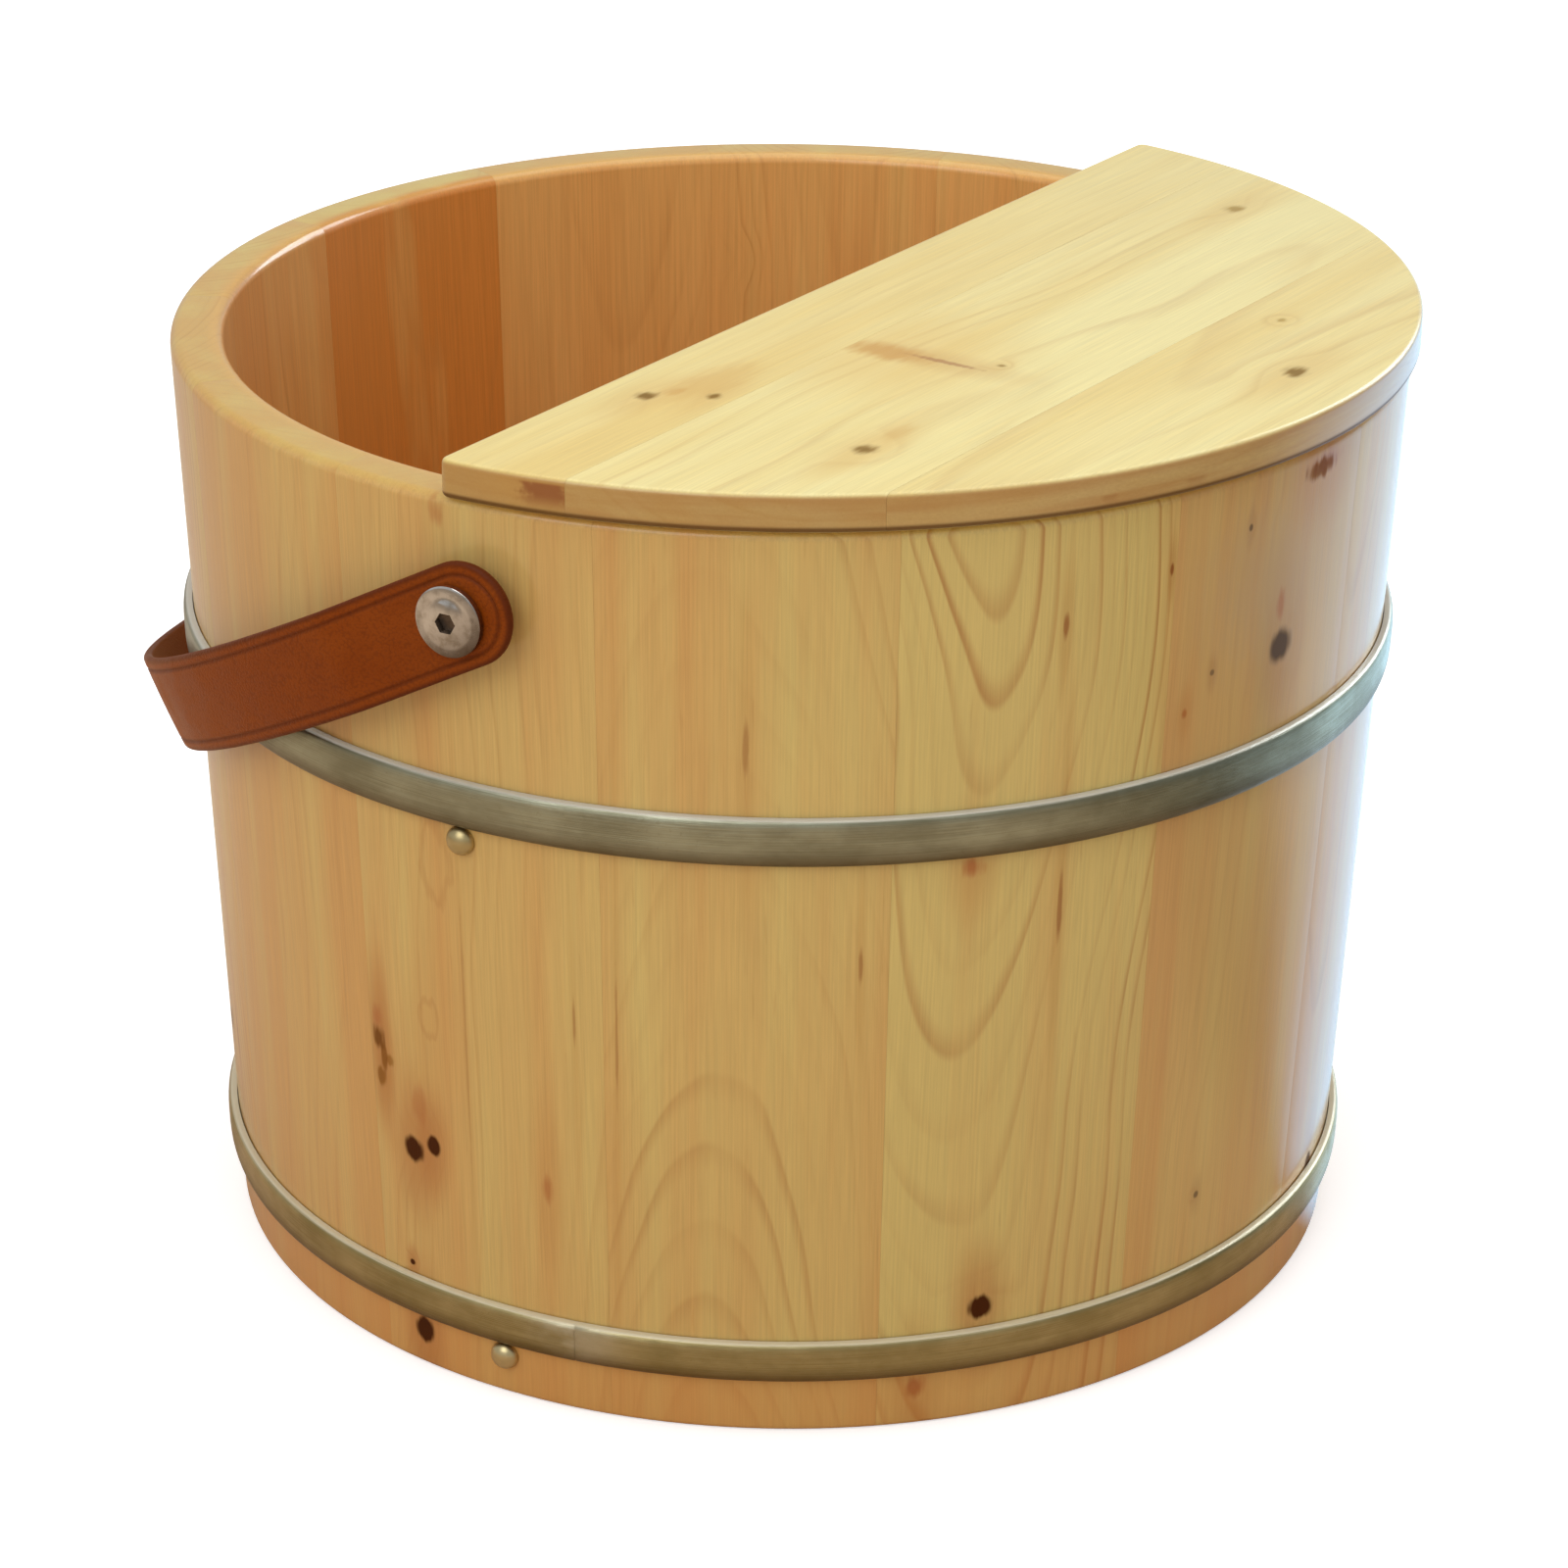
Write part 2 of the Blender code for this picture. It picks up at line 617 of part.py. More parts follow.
def add_pivots(tub):
    """Screw, spacer and insert on both sides. Returns the hole cutters with their angles."""
    bore = SCREW_DIAMETER + 2 * FIT_GAP
    holes = []
    for side, label, angle in ((-1, "near", 180), (1, "far", 0)):
        outward = facing((side, 0, 0))
        seat = (side * seat_face(), 0, PIVOT_HEIGHT)
        name = f"threaded_insert_{label}"
        sleeve = sleeve_profile(bore, INSERT_DIAMETER, -insert_length(), 0)
        turn(part(name, profile_mesh(name, sleeve, True), ZINC, tub, seat, outward), ROUND_FACETS)
        name = f"spacer_washer_{label}"
        ring = sleeve_profile(bore, SPACER_DIAMETER, FIT_GAP, strap_face() - seat_face() - FIT_GAP)
        turn(part(name, profile_mesh(name, ring, True), LEATHER, tub, seat, outward), ROUND_FACETS)
        name = f"handle_screw_{label}"
        head = (side * (strap_face() + STRAP_THICKNESS + FIT_GAP), 0, PIVOT_HEIGHT)
        screw = part(name, profile_mesh(name, screw_profile(), False), POLISHED_STEEL, tub, head, outward)
        turn(screw, ROUND_FACETS)
        socket_diameter = SOCKET_WIDTH / math.cos(math.radians(30))
        socket_mesh = rod_mesh(f"{name}_socket", socket_diameter, 2 * SOCKET_DEPTH, 6)
        head_top = (head[0] + side * SCREW_HEAD_HEIGHT, 0, PIVOT_HEIGHT)
        combine(screw, cutter(f"{name}_socket", socket_mesh, tub, head_top, outward))
        name = f"pivot_hole_{label}"
        hole = cutter(name, profile_mesh(name, seat_profile(), False), tub, seat, outward)
        turn(hole, ROUND_FACETS)
        holes.append((angle, hole))
    return holes


def main():
    """Builds the tub on an empty at the ground, below the origin."""
    tub = empty("tub", None, (0, 0, -FLOOR_HEIGHT))
    holes = add_hoops(tub) + add_pivots(tub)
    add_staves(tub, holes)
    add_floor(tub)
    add_lid(tub)
    axis = empty("handle_axis", tub, (0, 0, PIVOT_HEIGHT), (-strap_rest_tilt(), 0, 0))
    add_strap(axis)


main()
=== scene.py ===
"""Looks of a wooden foot tub: lacquered staves, half lid, metal hoops, leather strap and their fixings.

Lengths are in metres and angles in degrees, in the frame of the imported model: +Z up, the origin on the
tub's axis at the upper face of the bottom boards, +X along the axis that the strap swings on.
"""

import logging
import math
import random
from collections.abc import Callable, Iterable, Sequence
from dataclasses import dataclass, field
from enum import Enum
from functools import cache
from itertools import accumulate

import bmesh
import bpy
from mathutils import Matrix, Vector


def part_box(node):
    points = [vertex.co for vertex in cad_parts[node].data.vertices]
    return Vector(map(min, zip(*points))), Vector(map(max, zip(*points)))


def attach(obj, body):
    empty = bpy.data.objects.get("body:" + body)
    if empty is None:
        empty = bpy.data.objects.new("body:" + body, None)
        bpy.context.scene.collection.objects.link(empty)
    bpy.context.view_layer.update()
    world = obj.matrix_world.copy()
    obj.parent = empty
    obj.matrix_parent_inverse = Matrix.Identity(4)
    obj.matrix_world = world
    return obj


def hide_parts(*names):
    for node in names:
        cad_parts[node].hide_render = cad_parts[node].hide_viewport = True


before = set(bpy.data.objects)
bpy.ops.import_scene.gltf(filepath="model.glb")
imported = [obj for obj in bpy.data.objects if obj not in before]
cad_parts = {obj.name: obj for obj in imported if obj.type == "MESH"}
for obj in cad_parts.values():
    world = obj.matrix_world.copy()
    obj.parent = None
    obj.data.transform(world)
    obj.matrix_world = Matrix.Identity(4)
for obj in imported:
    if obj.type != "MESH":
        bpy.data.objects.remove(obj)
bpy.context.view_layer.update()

log = logging.getLogger("foot_tub")

Socket = bpy.types.NodeSocket
Value = float | Sequence[float] | Socket
Colour = tuple[float, float, float, float]
Section = list[tuple[float, float]]

# Mesh attributes that the finishes read
GRAIN = "grain"  # across the board's face, depth below it, and distance along the grain
BAND = "band"  # distance round a hoop, place across it from -1 to 1, and distance from its joint
HIDE = "hide"  # distance along the strap, across it, and in from its edge, below 0 on the flesh side
# The screws' attribute holds soiling and painted shade together
GRIME_AND_SHADE = "grime_and_shade"  # how dark and dull a screw is there

WHITE = (1.0, 1.0, 1.0, 1.0)
GAP = 0.0003  # clearance between two pieces
PAST = 0.01  # how far a cutter reaches past what it cuts
WELD = 0.000002  # points nearer than this are one after a cut


# Colours


def tint(red: int, green: int, blue: int) -> Colour:
    """Turns a colour as a screen shows it into a linear one.

    Args:
        red: Red, 0 to 255.
        green: Green, 0 to 255.
        blue: Blue, 0 to 255.

    Returns:
        Linear red, green, blue and an alpha of 1.
    """
    shares = [channel / 255 for channel in (red, green, blue)]
    linear = [s / 12.92 if s <= 0.04045 else ((s + 0.055) / 1.055) ** 2.4 for s in shares]
    return (linear[0], linear[1], linear[2], 1.0)


# Node trees


class SocketKind(Enum):
    """What a node group's socket carries."""

    NUMBER = "NodeSocketFloat"
    VECTOR = "NodeSocketVector"
    COLOUR = "NodeSocketColor"


class Graph:
    """Short calls that build one node tree."""

    def __init__(self, tree: bpy.types.NodeTree) -> None:
        """Starts on a tree, which it empties."""
        self.tree = tree
        tree.nodes.clear()

    def feed(self, socket: Socket, value: Value) -> None:
        """Links an input to another node's output, or sets its value.

        Args:
            socket: The input to fill.
            value: Another node's output, or a constant.
        """
        if isinstance(value, bpy.types.NodeSocket):
            self.tree.links.new(value, socket)
        else:
            socket.default_value = value

    def add(
        self, kind: str, inputs: dict[int | str, Value] | None = None, **settings: object
    ) -> bpy.types.Node:
        """Adds a node.

        Args:
            kind: The node's type name.
            inputs: What fills its inputs, by index or name.
            **settings: The node's own properties.

        Returns:
            The new node.
        """
        node = self.tree.nodes.new(kind)
        for key, value in settings.items():
            setattr(node, key, value)
        for key, value in (inputs or {}).items():
            self.feed(node.inputs[key], value)
        return node

    def math(self, operation: str, first: Value, second: Value = 0.0, clamp: bool = False) -> Socket:
        """The result of a Math node, kept between 0 and 1 if it is clamped."""
        inputs = {0: first, 1: second}
        return self.add("ShaderNodeMath", inputs, operation=operation, use_clamp=clamp).outputs[0]

    def plus(self, first: Value, second: Value, clamp: bool = False) -> Socket:
        """The sum of two numbers."""
        return self.math("ADD", first, second, clamp)

    def minus(self, first: Value, second: Value) -> Socket:
        """The first number less the second."""
        return self.math("SUBTRACT", first, second)

    def times(self, first: Value, second: Value, clamp: bool = False) -> Socket:
        """The product of two numbers."""
        return self.math("MULTIPLY", first, second, clamp)

    def hypot(self, first: Socket, second: Socket) -> Socket:
        """The length of a line from its two parts."""
        return self.math("SQRT", self.plus(self.times(first, first), self.times(second, second)))

    def vector_math(self, operation: str, first: Value, second: Value) -> bpy.types.Node:
        """A Vector Math node, because some operations give a number and others a vector."""
        return self.add("ShaderNodeVectorMath", {0: first, 1: second}, operation=operation)

    def scaled(self, vector: Value, factors: Sequence[float]) -> Socket:
        """A vector with each of its parts multiplied."""
        return self.vector_math("MULTIPLY", vector, factors).outputs["Vector"]

    def dot(self, first: Value, second: Value) -> Socket:
        """How far the first vector reaches along the second."""
        return self.vector_math("DOT_PRODUCT", first, second).outputs["Value"]

    def split(self, vector: Value) -> tuple[Socket, Socket, Socket]:
        """The three parts of a vector."""
        node = self.add("ShaderNodeSeparateXYZ", {0: vector})
        return node.outputs[0], node.outputs[1], node.outputs[2]

    def joined(self, first: Value, second: Value, third: Value) -> Socket:
        """A vector from its three parts."""
        return self.add("ShaderNodeCombineXYZ", {0: first, 1: second, 2: third}).outputs[0]

    def noise(
        self, vector: Value, factors: Sequence[float], detail: float = 2.0, roughness: float = 0.5
    ) -> Socket:
        """A noise from 0 to 1, from its waves to a metre each way and how many finer layers it has."""
        inputs = {"Vector": self.scaled(vector, factors), "Scale": 1.0, "Detail": detail}
        return self.add("ShaderNodeTexNoise", inputs | {"Roughness": roughness}).outputs[0]

    def sway(
        self, vector: Value, factors: Sequence[float], detail: float = 2.0, roughness: float = 0.5
    ) -> Socket:
        """The same noise from -0.5 to 0.5."""
        return self.minus(self.noise(vector, factors, detail, roughness), 0.5)

    def ease(self, value: Value, low: Value, high: Value, start: float = 0.0, end: float = 1.0) -> Socket:
        """A smooth step from start, where the value is low or less, to end, where it is high or more."""
        inputs = {0: value, 1: low, 2: high, 3: start, 4: end}
        return self.add("ShaderNodeMapRange", inputs, interpolation_type="SMOOTHSTEP").outputs[0]

    def blend(self, share: Value, first: Value, second: Value) -> Socket:
        """Two colours mixed, with a share of the second."""
        inputs = {0: share, 6: first, 7: second}
        return self.add("ShaderNodeMix", inputs, data_type="RGBA", clamp_factor=True).outputs[2]

    def bump(self, height: Socket, distance: float, strength: float = 1.0, invert: bool = False) -> Socket:
        """The normal of a surface with a relief."""
        inputs = {"Strength": strength, "Distance": distance, "Height": height}
        return self.add("ShaderNodeBump", inputs, invert=invert).outputs[0]

    def attribute(self, name: str) -> Socket:
        """A mesh attribute's vector."""
        return self.add("ShaderNodeAttribute", attribute_name=name).outputs["Vector"]

    def own_place(self) -> Socket:
        """The place in the piece's own frame."""
        return self.add("ShaderNodeTexCoord").outputs["Object"]

    def ray(self, kind: str) -> Socket:
        """1 for rays of one kind and 0 for the rest."""
        return self.add("ShaderNodeLightPath").outputs[kind]


class Recipe(Graph):
    """A node group that several finishes use."""

    def __init__(self, name: str, inputs: dict[str, SocketKind], outputs: dict[str, SocketKind]) -> None:
        """Makes an empty group with its sockets.

        Args:
            name: The group's name.
            inputs: Its inputs' names and kinds.
            outputs: Its outputs' names and kinds.
        """
        super().__init__(bpy.data.node_groups.new(name, "ShaderNodeTree"))
        for way, sockets in (("INPUT", inputs), ("OUTPUT", outputs)):
            for label, kind in sockets.items():
                self.tree.interface.new_socket(label, in_out=way, socket_type=kind.value)
        self.given = self.add("NodeGroupInput").outputs
        self.result = self.add("NodeGroupOutput").inputs

    def used_in(self, graph: Graph, inputs: dict[str, Value]) -> bpy.types.NodeOutputs:
        """The group's outputs in a tree that it is put in."""
        return graph.add("ShaderNodeGroup", inputs, node_tree=self.tree).outputs


def new_material(name: str) -> tuple[bpy.types.Material, Graph]:
    """Makes a material with an empty node tree.

    Args:
        name: The material's name.

    Returns:
        The material and the calls that fill its tree.
    """
    material = bpy.data.materials.new(name)
    material.use_nodes = True
    return material, Graph(material.node_tree)


def principled(graph: Graph, inputs: dict[str, Value]) -> None:
    """Ends a material's tree with a Principled shader that has these inputs."""
    shader = graph.add("ShaderNodeBsdfPrincipled", inputs)
    graph.add("ShaderNodeOutputMaterial", {"Surface": shader.outputs[0]})


# Wood


@dataclass(frozen=True)
class Growth:
    """How a kind of mark looks in the wood.

    Attributes:
        core: Colour of its middle.
        halo: Colour of the wood round it.
        straying: How far its edge strays, as a share of its size.
        bend: How far the rings bend round it, in rings.
        firm: Share of its radius that its core fills firmly.
        hollow: Share of its radius that a loop leaves clear, or less than 0 for a full mark.
        dull: Whether it takes no lacquer.
    """

    core: Colour
    halo: Colour
    straying: float
    bend: float
    firm: float
    hollow: float = -1.0
    dull: bool = False


class MarkKind(Enum):
    """Marks that grow in wood."""

    DEAD_KNOT = Growth(tint(72, 33, 5), tint(172, 90, 22), 0.3, 1.2, 0.65, dull=True)
    GREY_KNOT = Growth(tint(98, 82, 70), tint(164, 118, 68), 0.2, 0.8, 0.5, dull=True)
    GREY_STAIN = Growth(tint(190, 165, 128), tint(194, 162, 114), 0.3, 0.0, 0.1)
    RESIN = Growth(tint(148, 86, 28), tint(182, 128, 58), 0.5, 0.0, 0.4)
    BARK = Growth(tint(92, 46, 8), tint(176, 106, 34), 0.6, 0.5, 0.4, dull=True)
    RED_STAIN = Growth(tint(172, 92, 32), tint(188, 126, 58), 0.6, 0.0, 0.2)
    AMBER = Growth(tint(196, 146, 62), tint(214, 172, 84), 0.4, 0.0, 0.3)
    LOOP = Growth(tint(174, 118, 54), tint(200, 150, 78), 0.45, 0.0, 0.85, hollow=0.8)
    PALE_KNOT = Growth(tint(108, 74, 24), tint(204, 162, 84), 0.6, 0.9, 0.2, dull=True)


@dataclass(frozen=True)
class Mark:
    """One mark on a board.

    Attributes:
        kind: What it is.
        across: Its place across the board, from the middle.
        along: Its place along the board, from the board's origin.
        radius: Half its width.
        stretch: Its length as a multiple of its width.
        strength: How strongly its colours show.
        deep: Depth below the face from which it shows.
    """

    kind: MarkKind
    across: float
    along: float
    radius: float
    stretch: float = 1.0
    strength: float = 1.0
    deep: float = 0.0


@dataclass(frozen=True)
class Timber:
    """How one board grew and how it was cut from the log.

    Attributes:
        seed: Sets its own pattern apart from the other boards'.
        pith_across: Place of the log's heart across the board.
        pith_depth: How far behind the face the heart lies at the board's origin.
        lean: How far the heart falls back for each metre along the board.
        pitch: Width of a year's ring.
        waver: How far the rings stray, in rings.
        contrast: How dark the late wood is.
        warmth: Share of the warm colour in the wood.
        drift: How much that share grows for each metre across.
        heartwood: Share of the heart's colour on its inner face.
        marks: Its knots, streaks and stains.
    """

    seed: float
    pith_across: float
    pith_depth: float
    lean: float
    pitch: float
    waver: float = 1.2
    contrast: float = 0.5
    warmth: float = 0.5
    drift: float = 0.0
    heartwood: float = 0.2
    marks: tuple[Mark, ...] = ()


INNER_FACE = (0.010, 0.0165)  # depths between which a stave's colour turns into that of its inner face


@cache
def rings_recipe() -> Recipe:
    """Makes the one group that gives wood its year rings, bands of colour and fibres.

    Returns:
        The group.
    """
    number, vector, colour = SocketKind.NUMBER, SocketKind.VECTOR, SocketKind.COLOUR
    inputs = dict.fromkeys((GRAIN, "seed", "pith"), vector)
    inputs |= dict.fromkeys(("pitch", "waver", "push", "contrast", "warmth", "drift", "heartwood"), number)
    inputs |= dict.fromkeys(("pale", "warm", "late", "heart"), colour)
    recipe = Recipe("year_rings", inputs, {"colour": colour, "fibre": number})
    given = recipe.given
    place = recipe.vector_math("ADD", given[GRAIN], given["seed"]).outputs["Vector"]
    across, depth, along = recipe.split(given[GRAIN])
    pith_across, pith_depth, lean = recipe.split(given["pith"])
    inside = recipe.ease(depth, *INNER_FACE)

    # Late wood of the year's ring that a point lies in
    wander = recipe.times(recipe.sway(place, (3, 3, 7), 1), 0.03)
    sideways = recipe.plus(recipe.minus(across, pith_across), wander)
    inwards = recipe.plus(recipe.plus(pith_depth, depth), recipe.times(lean, along))
    stray = recipe.times(recipe.sway(place, (26, 26, 5)), given["waver"])
    years = recipe.math("DIVIDE", recipe.hypot(sideways, inwards), given["pitch"])
    years = recipe.plus(years, recipe.plus(stray, given["push"]))
    share = recipe.math("FRACT", years)
    year = recipe.plus(recipe.math("FLOOR", years), recipe.split(given["seed"])[0])
    weather = recipe.add("ShaderNodeTexWhiteNoise", {"W": year}, noise_dimensions="1D").outputs["Value"]
    late = recipe.times(recipe.ease(share, 0.5, 0.9), recipe.ease(share, 0.86, 1.0, 1.0, 0.0))
    late = recipe.times(late, recipe.ease(weather, 0.1, 1.0, 0.15, 1.0))
    late = recipe.times(late, recipe.ease(recipe.noise(place, (35, 35, 9)), 0.3, 0.65, 0.25, 1.0))

    # Colour between pale and warm, in bands along the grain and in wide patches
    warmth = recipe.plus(given["warmth"], recipe.times(recipe.sway(place, (42, 42, 2.2), 3, 0.6), 2.5))
    warmth = recipe.plus(warmth, recipe.times(given["drift"], across))
    warmth = recipe.plus(warmth, recipe.times(recipe.sway(place, (9, 9, 5)), 0.8))
    warmth = recipe.plus(warmth, recipe.times(inside, 0.4), clamp=True)
    wood = recipe.blend(warmth, given["pale"], given["warm"])
    streaks = recipe.ease(recipe.noise(place, (46, 46, 5), 3), 0.3, 0.62, 0.5, 1.0)
    hearty = recipe.times(recipe.times(inside, streaks), given["heartwood"], clamp=True)
    wood = recipe.blend(hearty, wood, given["heart"])

    # Rings, pores and fibres over it
    contrast = recipe.times(given["contrast"], recipe.ease(depth, *INNER_FACE, 1.0, 0.8))
    wood = recipe.blend(recipe.times(late, contrast), wood, given["late"])
    pores = recipe.ease(recipe.noise(place, (700, 700, 45)), 0.66, 0.78)
    wood = recipe.blend(recipe.times(pores, 0.16), wood, given["late"])
    fibre = recipe.noise(place, (1500, 1500, 22), 3, 0.65)
    light = recipe.ease(fibre, 0.2, 0.8, 0.91, 1.09)
    # Painted light: the wood towards the inner face is made up to 30% lighter.
    light = recipe.times(light, recipe.ease(depth, *INNER_FACE, 1.0, 1.3))
    wood = recipe.vector_math("MULTIPLY", wood, recipe.joined(light, light, light)).outputs["Vector"]
    recipe.feed(recipe.result["colour"], wood)
    recipe.feed(recipe.result["fibre"], fibre)
    return recipe


@cache
def mark_recipe() -> Recipe:
    """Makes the one group that finds how far a point lies inside a mark.

    Returns:
        The group.
    """
    places = ("across", "along", "radius", "stretch", "straying", "firm", "hollow", "deep")
    inputs = {GRAIN: SocketKind.VECTOR} | dict.fromkeys(places, SocketKind.NUMBER)
    recipe = Recipe("wood_mark", inputs, dict.fromkeys(("core", "halo", "swell"), SocketKind.NUMBER))
    given = recipe.given
    across, depth, along = recipe.split(given[GRAIN])
    sideways = recipe.math("DIVIDE", recipe.minus(across, given["across"]), given["radius"])
    length = recipe.times(given["radius"], given["stretch"])
    lengthways = recipe.math("DIVIDE", recipe.minus(along, given["along"]), length)
    reach = recipe.hypot(sideways, lengthways)
    recipe.feed(recipe.result["swell"], recipe.ease(reach, 0.0, 4.0, 1.0, 0.0))

    shallow = recipe.ease(depth, recipe.minus(given["deep"], 0.001), given["deep"])
    shallow = recipe.times(shallow, recipe.ease(depth, 0.005, 0.011, 1.0, 0.0))
    ragged = recipe.times(recipe.sway(given[GRAIN], (420, 420, 90)), given["straying"])
    reach = recipe.plus(reach, recipe.times(ragged, 2.0))
    core = recipe.ease(reach, given["firm"], 1.1, 1.0, 0.0)
    core = recipe.times(core, recipe.ease(reach, recipe.minus(given["hollow"], 0.3), given["hollow"]))
    recipe.feed(recipe.result["core"], recipe.times(core, shallow))
    halo = recipe.ease(recipe.hypot(sideways, recipe.times(lengthways, 0.42)), 0.6, 3.0, 1.0, 0.0)
    recipe.feed(recipe.result["halo"], recipe.times(halo, shallow))
    return recipe


FoundMarks = list[tuple[Mark, bpy.types.NodeOutputs]]


@dataclass(frozen=True)
class LacqueredWood:
    """Softwood under clear lacquer.

    Attributes:
        pale: Colour of its palest wood.
        warm: Colour of its heartwood.
        late: Colour of the late wood in a year's ring.
        heart: Colour of the wood nearest the log's heart.
        ends: Colour of cut ends.
        end_grain: Share of that colour on them.
        sides: Share by which upright faces are darker.
        foot: Share of the painted shade below the lower hoop.
        foot_shade: Colour of that painted shade.
        gap_shadow: Colour of the painted shadow along the lower edge of upright faces.
        halo: Share of its colour round a mark.
        roughness: Roughness of the wood under the lacquer.
        gloss: Specular level of the wood under the lacquer.
        coat: Weight of the lacquer.
        side_coat: Weight of the lacquer on upright faces that are darker.
        bare_coat: Share of gloss and lacquer left on the painted shadow line and on a dull mark.
        coat_roughness: Roughness of the lacquer.
        relief: Height of the fibres.
    """

    pale: Colour
    warm: Colour
    late: Colour
    heart: Colour = tint(193, 122, 51)
    ends: Colour = tint(182, 151, 56)
    end_grain: float = 0.42
    sides: float = 0.0
    foot: float = 0.0
    foot_shade: Colour = tint(216, 142, 66)
    gap_shadow: Colour = tint(84, 50, 22)
    halo: float = 0.45
    roughness: float = 0.5
    gloss: float = 0.25
    coat: float = 0.7
    side_coat: float = 1.0
    bare_coat: float = 0.15
    coat_roughness: float = 0.14
    relief: float = 0.00006

    def material(
        self, name: str, timber: Timber, grain_axis: Sequence[float], place: Callable[[Graph], Socket]
    ) -> bpy.types.Material:
        """Makes the material of one board.

        Args:
            name: The material's name.
            timber: How the board grew.
            grain_axis: Direction of the grain in the piece's own frame.
            place: Adds the nodes that give the board's grain coordinates.

        Returns:
            The material.
        """
        material, graph = new_material(name)
        grain = place(graph)
        marked = [mark_recipe().used_in(graph, self.mark_inputs(grain, mark)) for mark in timber.marks]
        found = list(zip(timber.marks, marked))
        rings = rings_recipe().used_in(graph, self.ring_inputs(graph, grain, timber, found))
        normal = graph.add("ShaderNodeTexCoord").outputs["Normal"]
        cut = graph.math("ABSOLUTE", graph.dot(normal, grain_axis))
        wood = graph.blend(graph.ease(cut, 0.35, 0.95, 0.0, self.end_grain), rings["colour"], self.ends)
        coat: Value = self.coat
        bare = [outputs["core"] for mark, outputs in found if mark.kind.value.dull]
        if self.sides:
            wood, coat, gap_shadowed = self.darkened_sides(graph, grain, graph.split(normal)[2], wood)
            bare.insert(0, gap_shadowed)
        if self.foot:
            # Painted shade: the wall below the lower hoop is warmer and darker.
            below = graph.ease(graph.split(grain)[2], 0.02, 0.03, self.foot, 0.0)
            wood = graph.blend(below, wood, self.foot_shade)
        for mark, outputs in found:
            around = graph.times(outputs["halo"], self.halo * mark.strength)
            wood = graph.blend(around, wood, mark.kind.value.halo)
        for mark, outputs in found:
            wood = graph.blend(graph.times(outputs["core"], mark.strength), wood, mark.kind.value.core)
        gloss: Value = self.gloss
        for core in bare:
            sealed = graph.ease(core, 0.0, 1.0, 1.0, self.bare_coat)
            coat = graph.times(sealed, coat)
            gloss = graph.times(sealed, gloss)
        rough = graph.ease(rings["fibre"], 0.2, 0.8, self.roughness - 0.06, self.roughness + 0.08)
        principled(
            graph,
            {
                "Base Color": wood,
                "Roughness": rough,
                "Specular IOR Level": gloss,
                "Normal": graph.bump(rings["fibre"], self.relief),
                "Coat Weight": coat,
                "Coat Roughness": self.coat_roughness,
            },
        )
        return material

    @staticmethod
    def mark_inputs(grain: Socket, mark: Mark) -> dict[str, Value]:
        """Gives what places one mark in its node group.

        Args:
            grain: The board's grain coordinates.
            mark: The mark.

        Returns:
            The group's inputs.
        """
        inputs = {label: getattr(mark, label) for label in ("across", "along", "radius", "stretch", "deep")}
        inputs |= {label: getattr(mark.kind.value, label) for label in ("straying", "firm", "hollow")}
        return {GRAIN: grain} | inputs

    def ring_inputs(
        self, graph: Graph, grain: Socket, timber: Timber, found: FoundMarks
    ) -> dict[str, Value]:
        """Gives what sets one board's rings apart in their node group.

        Args:
            graph: The material's tree.
            grain: The board's grain coordinates.
            timber: How the board grew.
            found: Its marks, which bend the rings, and their groups' outputs.

        Returns:
            The group's inputs.
        """
        push: Value = 0.0
        for mark, outputs in found:
            if mark.kind.value.bend:
                push = graph.plus(push, graph.times(outputs["swell"], mark.kind.value.bend))
        inputs = {GRAIN: grain, "push": push}
        inputs["seed"] = (timber.seed * 1.7, timber.seed * 2.3, timber.seed * 3.1)
        inputs["pith"] = (timber.pith_across, timber.pith_depth, timber.lean)
        for label in ("pitch", "waver", "contrast", "warmth", "drift", "heartwood"):
            inputs[label] = getattr(timber, label)
        return inputs | {"pale": self.pale, "warm": self.warm, "late": self.late, "heart": self.heart}

    def darkened_sides(
        self, graph: Graph, grain: Socket, upward: Socket, wood: Socket
    ) -> tuple[Socket, Socket, Socket]:
        """Makes a lid board's upright faces darker and glossier, with a painted shadow along their lower
        edge.

        Args:
            graph: The material's tree.
            grain: The board's grain coordinates.
            upward: How far the face points up, from -1 to 1.
            wood: Colour of the wood.

        Returns:
            The new colour, the lacquer's weight and the share of the painted shadow.
        """
        level = graph.math("ABSOLUTE", upward)
        patchy = graph.ease(graph.noise(grain, (24, 260, 10), 3), 0.3, 0.7, 0.75, 1.05)
        darker = graph.times(graph.ease(level, 0.2, 0.9, self.sides, 0.0), patchy)
        wood = graph.blend(darker, wood, self.late)
        depth = graph.split(grain)[1]  # 12 mm at the underside
        # Painted shadow: a dark line along the lower edge, where the lid sits over the rim.
        gap_shadowed = graph.ease(depth, 0.0094, 0.0106, 0.0, 0.8)
        gap_shadowed = graph.times(gap_shadowed, graph.ease(depth, 0.0115, 0.0119, 1.0, 0.0))
        coat = graph.ease(level, 0.2, 0.9, self.side_coat, self.coat)
        return graph.blend(gap_shadowed, wood, self.gap_shadow), coat, gap_shadowed


def carried_grain(graph: Graph) -> Socket:
    """Grain coordinates that the mesh carries."""
    return graph.attribute(GRAIN)


def grain_along_x(graph: Graph) -> Socket:
    """Grain coordinates of a board that lies along the piece's own X."""
    x, y, z = graph.split(graph.own_place())
    return graph.joined(y, graph.times(z, -1.0), x)


def grain_along_y(graph: Graph) -> Socket:
    """Grain coordinates of a board that lies along the piece's own Y."""
    x, y, z = graph.split(graph.own_place())
    return graph.joined(x, graph.times(z, -1.0), y)


